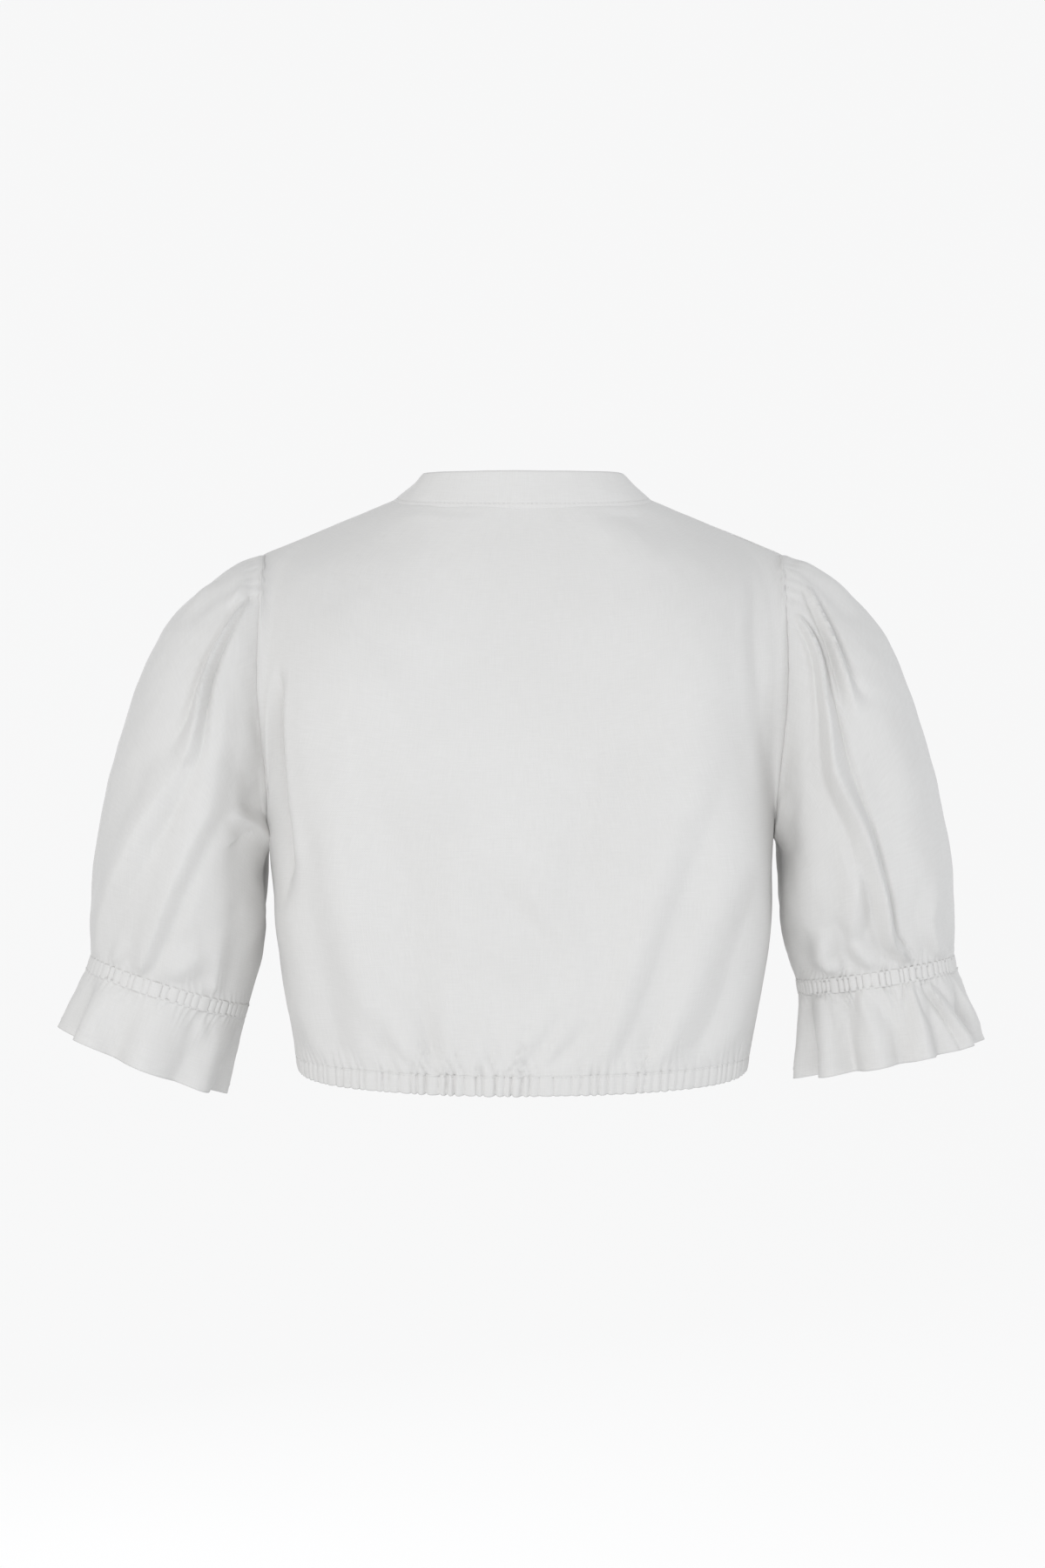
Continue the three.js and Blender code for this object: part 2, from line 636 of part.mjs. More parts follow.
function sleevePoint(sleeve, at, turn) {
  const degrees = ((((turn + 180) % 360) + 360) % 360) - 180;
  const section = sleeveSection(sleeve, at);
  const angle = radians(degrees);
  const point = ringPoint(sleeve, section, angle, capGather(at, degrees));
  const middle = ringPoint(sleeve, { ...section, depth: 0 }, Math.PI / 2);
  const facing = smooth((Math.abs(Math.sin(angle)) - 0.12) / 0.3);
  const fade = facing * smooth(at / 0.1) * smooth((1 - at) / 0.08);
  const height = SLEEVE_FOLDS[sleeve.name]
    .filter((fold) => fold.facing * Math.sin(angle) > 0)
    .reduce((sum, fold) => sum + foldHeight(fold.line, sleeve.side * point.x, point.z), 0);
  const out = point.clone().sub(middle).normalize();
  point.addScaledVector(out, fade * height);
  point.x += sleeve.side * SEAM_GAP * Math.max(0, 1 - at / 0.05);
  return point;
}

// Columns of a sleeve, closer together over the cap where its gathers are.
function sleeveColumns(side) {
  const cap = range(CAP_COLUMNS).map((s) => CAP_HALF_ANGLE * (2 * s - 1));
  const rest = 360 - 2 * CAP_HALF_ANGLE;
  const under = range(UNDER_COLUMNS).slice(1, -1).map((s) => CAP_HALF_ANGLE + s * rest);
  return [...cap, ...under].map((degrees) => side * degrees);
}

// Rows run from the elastic up to the armhole, closer together at the cap.
function makeSleeve(sleeve) {
  const rows = range(SLEEVE_ROWS).map((s) => (1 - s) ** 1.15);
  return clothWall((at, turn) => sleevePoint(sleeve, at, turn), rows, sleeveColumns(sleeve.side), true,
    (at, turn) => sleeveOutward(sleeve, at, turn));
}

function sleeveOutward(sleeve, at, turn) {
  const step = { at: 0.01, turn: 1 };
  const low = Math.max(at - step.at, 0);
  const high = Math.min(at + step.at, 1);
  const down = sleevePoint(sleeve, high, turn).sub(sleevePoint(sleeve, low, turn));
  const round = sleevePoint(sleeve, at, turn + step.turn).sub(sleevePoint(sleeve, at, turn - step.turn));
  return down.cross(round).multiplyScalar(sleeve.side).normalize();
}

// The sections below the sleeve: the elastic runs straight on, and the frill flares out to its hem.
function cuffSections(sleeve) {
  const start = sleeveSection(sleeve, 1);
  const along = new THREE.Vector2(start.outerZ - start.innerZ, start.innerX - start.outerX).normalize();
  const shifted = (section, distance) => ({
    ...section,
    outerX: section.outerX + along.x * distance,
    outerZ: section.outerZ + along.y * distance,
    innerX: section.innerX + along.x * distance,
    innerZ: section.innerZ + along.y * distance,
  });
  const hem = {
    outerX: sleeve.hemOuterX, outerZ: sleeve.hemOuterZ, innerX: sleeve.hemInnerX, innerZ: sleeve.hemInnerZ,
    depth: sleeve.hemDepth, centreY: start.centreY,
  };
  return {
    elasticTop: shifted(start, SEAM_GAP),
    elasticEnd: shifted(start, ELASTIC_HEIGHT),
    frillTop: shifted(start, ELASTIC_HEIGHT + SEAM_GAP),
    hem,
  };
}

function between(from, to, share) {
  return Object.fromEntries(Object.keys(to).map((key) => [key, mix(from[key], to[key], share)]));
}

function radialOutward(sleeve, section, turn) {
  const point = ringPoint(sleeve, section, radians(turn), 1);
  return point.sub(ringPoint(sleeve, section, radians(turn))).normalize();
}

// Rows run up the sleeve and columns round it, so that the wall faces out on both sides of the body.
function makeCuffWall(sleeve, from, to, rows, columnCount, swell) {
  const columns = range(columnCount).slice(0, -1).map((s) => sleeve.side * 360 * s);
  const section = (share) => between(from, to, 1 - share);
  const surface = (share, turn) => ringPoint(sleeve, section(share), radians(turn), swell(1 - share, turn));
  const outward = (share, turn) => radialOutward(sleeve, section(share), turn);
  return clothWall(surface, range(rows), columns, true, outward);
}

function makeElastic(sleeve) {
  const { elasticTop, elasticEnd } = cuffSections(sleeve);
  const swell = (down, turn) => ELASTIC_GATHER_HEIGHT * Math.sin(sleeve.gathers * radians(turn));
  return makeCuffWall(sleeve, elasticTop, elasticEnd, 1, sleeve.gathers * POINTS_PER_GATHER, swell);
}

function makeFrill(sleeve) {
  const { frillTop, hem } = cuffSections(sleeve);
  const swell = (down, turn) =>
    sleeve.waveHeight * (0.15 + 0.85 * down) * Math.sin(radians(sleeve.waves * turn + sleeve.wavePhase));
  return makeCuffWall(sleeve, frillTop, hem, FRILL_ROWS, FRILL_COLUMNS, swell);
}

function clothMaterial(color, roughness) {
  return new THREE.MeshStandardMaterial({ color, roughness, metalness: 0 });
}

const blouse = new THREE.Group();

function addPiece(name, geometry, material) {
  const mesh = new THREE.Mesh(geometry, material);
  mesh.name = name;
  blouse.add(mesh);
  return mesh;
}

const CLOTH_WHITE = 0xe9e9e8;
const GATHERED_WHITE = 0xe5e5e6;
const BUTTON_WHITE = 0xefeeea;

addPiece("back_panel", makeBack(), clothMaterial(CLOTH_WHITE, 0.88));
addPiece("front_panel_left", makeFront(1), clothMaterial(CLOTH_WHITE, 0.88));
addPiece("front_panel_right", makeFront(-1), clothMaterial(CLOTH_WHITE, 0.88));
addPiece("neck_band", makeNeckBand(), clothMaterial(CLOTH_WHITE, 0.88));
addPiece("button_placket", makePlacket(), clothMaterial(CLOTH_WHITE, 0.88));
addPiece("hem_casing", makeHemCasing(), clothMaterial(GATHERED_WHITE, 0.9));

for (const sleeve of SLEEVES) {
  addPiece(`sleeve_${sleeve.name}`, makeSleeve(sleeve), clothMaterial(CLOTH_WHITE, 0.88));
  addPiece(`sleeve_elastic_${sleeve.name}`, makeElastic(sleeve), clothMaterial(GATHERED_WHITE, 0.9));
  addPiece(`sleeve_frill_${sleeve.name}`, makeFrill(sleeve), clothMaterial(CLOTH_WHITE, 0.88));
}

for (let i = 0; i < BUTTON.count; i += 1) {
  const button = addPiece(`button_${i + 1}`, buttonGeometry(), clothMaterial(BUTTON_WHITE, 0.35));
  placeButton(button, BUTTON.top - i * BUTTON.step);
}

export default blouse;
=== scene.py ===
"""A cropped white blouse with puffed half sleeves, hollow and in its worn form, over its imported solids.

Sizes are in millimetres, in the frame of the solids: +Z is up, +Y is the wearer's back and +X is the
wearer's left. Each piece of cloth is a surface of two parameters, a row and a column, worked out as whole
arrays. Folds and gathers move it along its normals, and a thin shell of cloth is then made of it.
"""

from __future__ import annotations

import logging
from dataclasses import dataclass, field
from enum import Enum

import bpy
import numpy as np
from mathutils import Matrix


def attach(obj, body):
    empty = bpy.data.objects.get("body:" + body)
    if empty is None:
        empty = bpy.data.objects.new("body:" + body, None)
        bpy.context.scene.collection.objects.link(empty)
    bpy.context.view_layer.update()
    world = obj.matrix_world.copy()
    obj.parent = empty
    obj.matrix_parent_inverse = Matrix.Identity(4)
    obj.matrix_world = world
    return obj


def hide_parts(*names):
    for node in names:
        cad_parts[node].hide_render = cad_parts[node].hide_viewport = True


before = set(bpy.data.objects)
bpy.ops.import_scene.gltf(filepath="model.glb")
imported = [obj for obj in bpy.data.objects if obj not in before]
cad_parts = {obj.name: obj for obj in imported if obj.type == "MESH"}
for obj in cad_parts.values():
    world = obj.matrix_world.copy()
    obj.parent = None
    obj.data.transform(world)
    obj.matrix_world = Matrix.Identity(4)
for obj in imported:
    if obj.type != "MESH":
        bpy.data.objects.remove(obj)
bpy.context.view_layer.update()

Array = np.ndarray
Vector = tuple[float, float, float]
Colour = tuple[float, float, float, float]

LOG = logging.getLogger("blouse")
METRES = 0.001
DAYLIGHT = (0.97, 0.982, 1.0)
WARM_LIGHT = (1.0, 0.965, 0.92)
COOL_LIGHT = (0.94, 0.965, 1.0)
UV_LAYER = "cut"
# The gap left between two pieces that meet, a distance that no gathers reach, and the order of a cell's
# corners that turns its face round.
JOINT_GAP = 0.05
FAR_AWAY = 200.0
FLIPPED = [0, 3, 2, 1]


class Side(Enum):
    """The wearer's left or right, with the sign of its X."""

    LEFT = 1
    RIGHT = -1


class Edge(Enum):
    """An edge of a piece of cloth that goes on a little way under its neighbour."""

    FIRST_ROW = "first row"
    LAST_ROW = "last row"
    LAST_COLUMN = "last column"


def smooth(value: Array | float) -> Array:
    """Eases from 0 to 1 as the value goes from 0 to 1: 3v squared less 2v cubed."""
    v = np.clip(value, 0.0, 1.0)
    return v * v * (3.0 - 2.0 * v)


def mix(start: Array | float, end: Array | float, share: Array | float) -> Array:
    """Goes straight from start to end as the share goes from 0 to 1."""
    return start + (end - start) * share


def unit(vectors: Array) -> Array:
    """Brings each vector to a length of 1."""
    return vectors / np.maximum(np.linalg.norm(vectors, axis=-1, keepdims=True), 1e-9)


def stack(x: Array, y: Array, z: Array) -> Array:
    """Joins three arrays of coordinates into one array of points."""
    return np.stack(np.broadcast_arrays(x, y, z), axis=-1)

def spread(*values: Array | float) -> list[Array]:
    """Brings numbers and arrays to one shape."""
    return np.broadcast_arrays(*(np.asarray(value, float) for value in values))


def side_of(value: Array) -> Array:
    """Gives -1 where a value is below 0, and 1 elsewhere."""
    return np.where(value < 0.0, -1.0, 1.0)


def bell(value: Array | float, width: float) -> Array:
    """Gives a bell: 1 where the value is 0, and next to nothing past twice the width on either side."""
    return np.exp(-((value / width) ** 2))


def walk(points: Array, axis: int = 0) -> Array:
    """Measures how far each point lies from the first one, step by step along one axis of a grid."""
    steps = np.diff(points, axis=axis, prepend=np.take(points, [0], axis))
    return np.cumsum(np.linalg.norm(steps, axis=-1), axis=axis)


def follow(line: Array, distances: Array, at: Array) -> Array:
    """Finds the points of a line, or its ways out, at some distances along it."""
    return np.stack([np.interp(at, distances, line[:, i]) for i in range(3)], axis=-1)


def full_turn(count: int) -> Array:
    """Spreads a count of angles evenly over one turn."""
    return 2.0 * np.pi * np.arange(count) / count


def quads(rows: int, columns: int, ring: bool = True) -> Array:
    """Lists the four corners of each cell of a grid of points.

    Args:
        rows: how many rows the grid has.
        columns: how many columns it has.
        ring: whether each row closes on itself.

    Returns:
        Four point numbers for each cell, row by row.
    """
    i, j = np.meshgrid(np.arange(rows - 1), np.arange(columns if ring else columns - 1), indexing="ij")
    k = (j + 1) % columns
    corners = [i * columns + j, i * columns + k, (i + 1) * columns + k, (i + 1) * columns + j]
    return np.stack(corners, axis=-1).reshape(-1, 4)


class Sections:
    """A short table with named columns, read between its rows on a smooth curve."""

    def __init__(self, columns: str, *rows: tuple[float, ...]) -> None:
        """Keeps the rows; the first column is the station that each belongs to."""
        self.names = columns.split()
        table = np.array(rows, dtype=float)
        self.stations = table[:, 0]
        self.values = table[:, 1:]

    def read(self, at: Array | float) -> dict[str, Array]:
        """Reads every column at some stations.

        A cubic runs between two rows, and its slope at a row is that between the row's two neighbours.

        Args:
            at: the stations, of any shape.

        Returns:
            An array of that shape for each named column.
        """
        at = np.asarray(at, dtype=float)
        last = len(self.stations) - 1
        low = np.clip(np.searchsorted(self.stations, at, side="left") - 1, 0, last - 1)
        before, after = np.maximum(low - 1, 0), np.minimum(low + 2, last)
        start, end = self.values[low], self.values[low + 1]
        at_start, at_end = self.stations[low], self.stations[low + 1]
        span = at_end - at_start
        t = ((at - at_start) / span)[..., None]
        leave = (end - self.values[before]) * (span / (at_end - self.stations[before]))[..., None]
        arrive = (self.values[after] - start) * (span / (self.stations[after] - at_start))[..., None]
        found = (2 * t**3 - 3 * t**2 + 1) * start + (t**3 - 2 * t**2 + t) * leave
        found = found + (3 * t**2 - 2 * t**3) * end + (t**3 - t**2) * arrive
        return {name: found[..., i] for i, name in enumerate(self.names)}


@dataclass(frozen=True)
class Crease:
    """One fold, as points down its line: x, z, half width and depth. A depth above 0 sinks.

    lean from -1 to 1 makes the fold steeper on one side of its line and softer on the other. sharp from 0
    to 1 turns its round valley into a crisp one. lip is the height of the cloth pushed up beside it,
    lip_place half widths away. The line is read at a few steps from each of its points to the next.
    """

    line: tuple[tuple[float, float, float, float], ...]
    lean: float = 0.0
    sharp: float = 0.0
    lip: float = 0.3
    steps: int = 6
    lean_share: float = 0.55
    sharp_share: float = 0.75
    lip_place: float = 2.0
    lip_width: float = 0.9

    def height(self, x: Array, z: Array) -> Array:
        """Works out how far the fold moves each point.

        Across the line it is a bell that sinks by the depth, between two lower lips that rise beside it.

        Args:
            x: how far across each point lies.
            z: how high each point lies.

        Returns:
            The move outwards at each point.
        """
        knots = np.arange(len(self.line), dtype=float)
        rows = Sections("x z width depth", *np.column_stack([knots, np.array(self.line)]).tolist())
        read = rows.read(np.linspace(0.0, knots[-1], self.steps * (len(self.line) - 1) + 1))
        nearest = np.full(x.shape, np.inf)
        signed, width, depth = np.zeros(x.shape), np.ones(x.shape), np.zeros(x.shape)
        for i in range(len(read["x"]) - 1):
            dx, dz = read["x"][i + 1] - read["x"][i], read["z"][i + 1] - read["z"][i]
            reach = ((x - read["x"][i]) * dx + (z - read["z"][i]) * dz) / (dx * dx + dz * dz)
            share = np.clip(reach, 0.0, 1.0)
            off_x, off_z = x - read["x"][i] - dx * share, z - read["z"][i] - dz * share
            away = np.hypot(off_x, off_z)
            closer = away < nearest
            nearest = np.where(closer, away, nearest)
            signed = np.where(closer, np.sign(dx * off_z - dz * off_x), signed)
            width = np.where(closer, mix(read["width"][i], read["width"][i + 1], share), width)
            depth = np.where(closer, mix(read["depth"][i], read["depth"][i + 1], share), depth)
        r = nearest / (width * (1.0 + self.lean_share * self.lean * signed))
        valley = np.exp(-(r ** (2.0 - self.sharp_share * self.sharp)))
        return depth * (self.lip * bell(r - self.lip_place, self.lip_width) - valley)


def fold_height(creases: tuple[Crease, ...], x: Array, z: Array) -> Array:
    """Adds up the heights of several folds at each point."""
    return sum((crease.height(x, z) for crease in creases), np.zeros(x.shape))


@dataclass(frozen=True)
class Gathers:
    """Small ridges that start at a gathered edge and die out away from it, uneven in length and lean.

    reach and slant are how far they run and how much they lean. Each one's place strays by a share of the
    step between two, and its height and width lie in the two ranges. opening is how much wider it gets, and
    fall how suddenly it ends. period is the length of the edge if it closes on itself, or 0.
    """

    first: float
    last: float
    count: int
    width: float
    height: float
    reach: tuple[float, float]
    slant: float
    seed: int
    period: float = 0.0
    stray: float = 0.25
    heights: tuple[float, float] = (0.45, 1.0)
    widths: tuple[float, float] = (0.8, 1.3)
    opening: float = 0.6
    fall: float = 1.6

    def lift(self, along: Array, away: Array) -> Array:
        """Works out how far the gathers move each point.

        Each one is a bell across its own slanted line, and falls off with the distance from the edge.

        Args:
            along: how far along the edge each point lies.
            away: how far from the edge each point lies.

        Returns:
            The move outwards at each point.
        """
        rng = np.random.default_rng(self.seed)
        step = (self.last - self.first) / self.count
        total = np.zeros(np.broadcast(along, away).shape)
        for i in range(self.count):
            centre = self.first + (i + 0.5 + rng.uniform(-self.stray, self.stray)) * step
            slant = self.slant * rng.normal()
            reach = rng.uniform(*self.reach)
            height = self.height * rng.uniform(*self.heights)
            width = self.width * rng.uniform(*self.widths)
            gap = along - centre - slant * away
            if self.period:
                gap = (gap + self.period / 2) % self.period - self.period / 2
            gone = np.exp(-((np.maximum(away, 0.0) / reach) ** self.fall))
            total += height * bell(gap, width * (1.0 + self.opening * away / reach)) * gone
        return total


@dataclass(frozen=True)
class Ribs:
    """The ribs that an elastic draws up in a closed ring of cloth, and how they run out above or below it.

    pitch is the usual distance between two ribs, and slant how far one leans for each step away from the
    elastic. short and long are how far most ribs and the few longest ones run out. strengths lists places
    round the ring, from 0 to 1, each with the share of the height that the ribs have there. heights and
    reaches are the ranges that single ribs lie in, stray how far one lies off its place, and lean_spread
    how much the leans differ. far_share of the ribs are long. A low power makes a rib rounder, and ground
    is what is taken off it.
    """

    count: int
    height: float
    pitch: float
    slant: float
    short: float
    long: float
    seed: int
    strengths: tuple[tuple[float, float], ...] = ((0.0, 1.0), (1.0, 1.0))
    heights: tuple[float, float] = (0.25, 1.2)
    reaches: tuple[float, float] = (0.55, 1.1)
    stray: float = 0.32
    lean_spread: float = 0.8
    far_share: float = 0.28
    power: float = 0.65
    ground: float = 0.7
    fall: float = 1.5

    def lift(self, turn: Array, away: Array) -> Array:
        """Works out how far the ribs move each point.

        Each rib is round on top, with a narrow dip on either side: the size of a sine to a power below 1.
        Strength, place, lean and length change from one rib to the next.

        Args:
            turn: how far round the ring each point lies, from 0 to 1.
            away: how far from the elastic each point lies, and 0 on it.

        Returns:
            The move outwards at each point.
        """
        rng = np.random.default_rng(self.seed)
        knots = np.arange(self.count + 1) / self.count
        turn, away = np.broadcast_arrays(turn % 1.0, away)

        def uneven(values: Array) -> Array:
            """Reads values that belong to the ribs, with the last one the same as the first."""
            values[-1] = values[0]
            return np.interp(turn, knots, values)

        strength = uneven(rng.uniform(*self.heights, self.count + 1))
        strength = strength * np.interp(turn, *np.array(self.strengths).T)
        shift = uneven(rng.uniform(-self.stray, self.stray, self.count + 1))
        lean = uneven(self.slant * (1.0 + self.lean_spread * rng.normal(size=self.count + 1)))
        far = rng.uniform(size=self.count + 1) < self.far_share
        usual = np.where(far, self.long, self.short)
        reach = uneven(usual * rng.uniform(*self.reaches, self.count + 1))
        place = turn * self.count + shift + lean * away / self.pitch
        crest = np.abs(np.sin(np.pi * place)) ** self.power
        return self.height * strength * (crest - self.ground) * np.exp(-((away / reach) ** self.fall))


@dataclass(frozen=True)
class Crumple:
    """The faint unevenness of worn cloth: waves in many directions, of lengths between two sizes.

    The long waves are higher than the short ones, by growth as the power of their length.
    """

    height: float
    shortest: float
    longest: float
    seed: int
    waves: int = 26
    growth: float = 0.8

    def lift(self, points: Array) -> Array:
        """Adds up sine waves in seeded directions, so that the cloth is nowhere quite even."""
        rng = np.random.default_rng(self.seed)
        total = np.zeros(points.shape[:-1])
        for _ in range(self.waves):
            length = self.shortest * (self.longest / self.shortest) ** rng.uniform()
            way = unit(rng.normal(size=3)) * 2.0 * np.pi / length
            weight = (length / self.longest) ** self.growth
            total += weight * np.sin(points @ way + rng.uniform(0.0, 2.0 * np.pi))
        return self.height * total / np.sqrt(self.waves / 2.0)


def relax(points: Array, mask: Array, passes: int) -> Array:
    """Rounds off a grid along its columns: each pass moves a point towards the middle of the two beside it.

    Args:
        points: rows of columns of points.
        mask: from 0, left as it is, to 1.
        passes: how many times it is done.

    Returns:
        The rounded grid.
    """
    points = points.copy()
    share = 0.5 * mask[1:-1, :, None]
    for _ in range(passes):
        points[1:-1] += share * ((points[2:] + points[:-2]) / 2.0 - points[1:-1])
    return points


def outward_of(points: Array, ring: bool, sign: float) -> Array:
    """Works out the way out of a grid of points, across its rows and its columns.

    Args:
        points: rows of columns of points.
        ring: whether each row closes on itself.
        sign: 1 or -1, to turn the way out of the cloth's wrong side into that of its right side.

    Returns:
        A unit vector at each point.
    """
    down = np.gradient(points, axis=0)
    if ring:
        across = np.roll(points, -1, axis=1) - np.roll(points, 1, axis=1)
    else:
        across = np.gradient(points, axis=1)
    return sign * unit(np.cross(across, down))


def grid_faces(rows: int, columns: int, ring: bool) -> tuple[Array, Array]:
    """Lists the faces of a shell whose outer grid of points comes first and its inner grid second.

    Args:
        rows: how many rows each grid has.
        columns: how many columns each grid has.
        ring: whether each row closes on itself.

    Returns:
        The four corners of each face, and each corner's column counted on past the last one.
    """
    steps = columns if ring else columns - 1
    outer = quads(rows, columns, ring)
    j = np.tile(np.arange(steps), rows - 1)
    counted = np.stack([j, j + 1, j + 1, j], axis=1)
    inner = rows * columns
    faces = [outer, outer[:, ::-1] + inner]
    counts = [counted, counted[:, ::-1]]
    edge, after = np.arange(steps), (np.arange(steps) + 1) % columns
    for row, flip in ((0, False), (rows - 1, True)):
        rim = np.stack([row * columns + after, row * columns + edge], axis=1)
        rim = np.concatenate([rim, rim[:, ::-1] + inner], axis=1)
        count = np.stack([edge + 1, edge, edge, edge + 1], axis=1)
        faces.append(rim[:, ::-1] if flip else rim)
        counts.append(count[:, ::-1] if flip else count)
    if not ring:
        down = np.arange(rows - 1) * columns
        for column, flip in ((0, True), (columns - 1, False)):
            rim = np.stack([down + columns + column, down + column], axis=1)
            rim = np.concatenate([rim, rim[:, ::-1] + inner], axis=1)
            faces.append(rim[:, ::-1] if flip else rim)
            counts.append(np.full(rim.shape, column))
    return np.concatenate(faces), np.concatenate(counts)


def new_object(
    name: str, vertices: Array, faces: Array, material: bpy.types.Material, rims: int = 0,
) -> bpy.types.Object:
    """Makes a smooth object of vertices in millimetres and faces of equal size.

    Args:
        name: the object's name.
        vertices: its points.
        faces: the corners of each face.
        material: its finish.
        rims: how many faces, at the end of the list, are narrow rims that don't round off what they meet.

    Returns:
        The object, at the origin and linked to the scene.
    """
    mesh = bpy.data.meshes.new(name)
    sides = faces.shape[1]
    mesh.vertices.add(len(vertices))
    mesh.vertices.foreach_set("co", (vertices * METRES).astype(np.float32).ravel())
    mesh.loops.add(faces.size)
    mesh.loops.foreach_set("vertex_index", faces.astype(np.int32).ravel())
    mesh.polygons.add(len(faces))
    mesh.polygons.foreach_set("loop_start", np.arange(0, faces.size, sides, dtype=np.int32))
    mesh.polygons.foreach_set("use_smooth", np.arange(len(faces)) < len(faces) - rims)
    mesh.update(calc_edges=True)
    mesh.validate()
    mesh.materials.append(material)
    piece = bpy.data.objects.new(name, mesh)
    bpy.context.scene.collection.objects.link(piece)
    return piece


@dataclass
class Cloth:
    """One cut piece of cloth: the points of its right side, how far they move out, and its thickness.

    Each tucked edge goes on by tuck_length, and down by tuck_depth, under the piece that covers it.
    """

    name: str
    points: Array
    ring: bool
    sign: float
    thickness: float = 0.55
    lift: Array | float = 0.0
    tucked: tuple[Edge, ...] = ()
    tuck_length: float = 1.6
    tuck_depth: float = 0.4

    def outer(self) -> Array:
        """Moves the points out along their normals by the lift, and adds the tucks."""
        way = outward_of(self.points, self.ring, self.sign)
        moved = self.points + way * np.broadcast_to(self.lift, self.points.shape[:-1])[..., None]
        for edge in self.tucked:
            moved, way = self.tuck(moved, way, edge)
        return moved

    def tuck(self, points: Array, way: Array, edge: Edge) -> tuple[Array, Array]:
        """Adds one row or column past an edge, straight on and a little inwards.

        Args:
            points: the grid of points.
            way: the way out at each of them.
            edge: which edge.

        Returns:
            The longer grid, and the ways out of its points.
        """
        if edge is Edge.LAST_COLUMN:
            turned = self.tuck(points.swapaxes(0, 1), way.swapaxes(0, 1), Edge.LAST_ROW)
            return turned[0].swapaxes(0, 1), turned[1].swapaxes(0, 1)
        if edge is Edge.FIRST_ROW:
            turned = self.tuck(points[::-1], way[::-1], Edge.LAST_ROW)
            return turned[0][::-1], turned[1][::-1]
        past = points[-1] + unit(points[-1] - points[-2]) * self.tuck_length - way[-1] * self.tuck_depth
        return np.concatenate([points, past[None]]), np.concatenate([way, way[-1:]])

    def weave_map(self, points: Array) -> tuple[Array, Array]:
        """Measures the cloth along its middle row and its middle column, for the weave.

        Args:
            points: the outer grid of points.

        Returns:
            Each column's place across, one more than there are columns on a ring, and each row's place.
        """
        middle = points[len(points) // 2]
        if self.ring:
            middle = np.concatenate([middle, middle[:1]])
        return walk(middle), walk(points[:, points.shape[1] // 2])

    def build(self, material: bpy.types.Material) -> bpy.types.Object:
        """Makes the thin shell of this cloth.

        Args:
            material: the cloth's finish.

        Returns:
            The shell, with its weave's map in metres.
        """
        outer = self.outer()
        inner = outer - outward_of(outer, self.ring, self.sign) * self.thickness
        rows, columns = outer.shape[:2]
        faces, counted = grid_faces(rows, columns, self.ring)
        row_of = (faces % (rows * columns)) // columns
        if self.sign < 0:
            faces, counted, row_of = faces[:, ::-1], counted[:, ::-1], row_of[:, ::-1]
        vertices = np.concatenate([outer.reshape(-1, 3), inner.reshape(-1, 3)])
        surfaces = 2 * (rows - 1) * (columns if self.ring else columns - 1)
        piece = new_object(self.name, vertices, faces, material, len(faces) - surfaces)
        across, along = self.weave_map(outer)
        layer = piece.data.uv_layers.new(name=UV_LAYER)
        uv = np.stack([across[counted], along[row_of]], axis=-1) * METRES
        layer.data.foreach_set("uv", uv.astype(np.float32).ravel())
        return piece


class Value:
    """A number that runs through a material's nodes. Operators add the nodes that they stand for."""

    def __init__(self, graph: Graph, socket: bpy.types.NodeSocket) -> None:
        """Wraps one output socket."""
        self.graph = graph
        self.socket = socket

    def __add__(self, other: Value | float) -> Value:
        """Adds."""
        return self.graph.maths("ADD", self, other)

    def __mul__(self, other: Value | float) -> Value:
        """Multiplies."""
        return self.graph.maths("MULTIPLY", self, other)

    def __rsub__(self, other: float) -> Value:
        """Takes this away from a number."""
        return self.graph.maths("SUBTRACT", other, self)

    __radd__ = __add__

    def sine(self) -> Value:
        """Takes the sine."""
        return self.graph.maths("SINE", self)


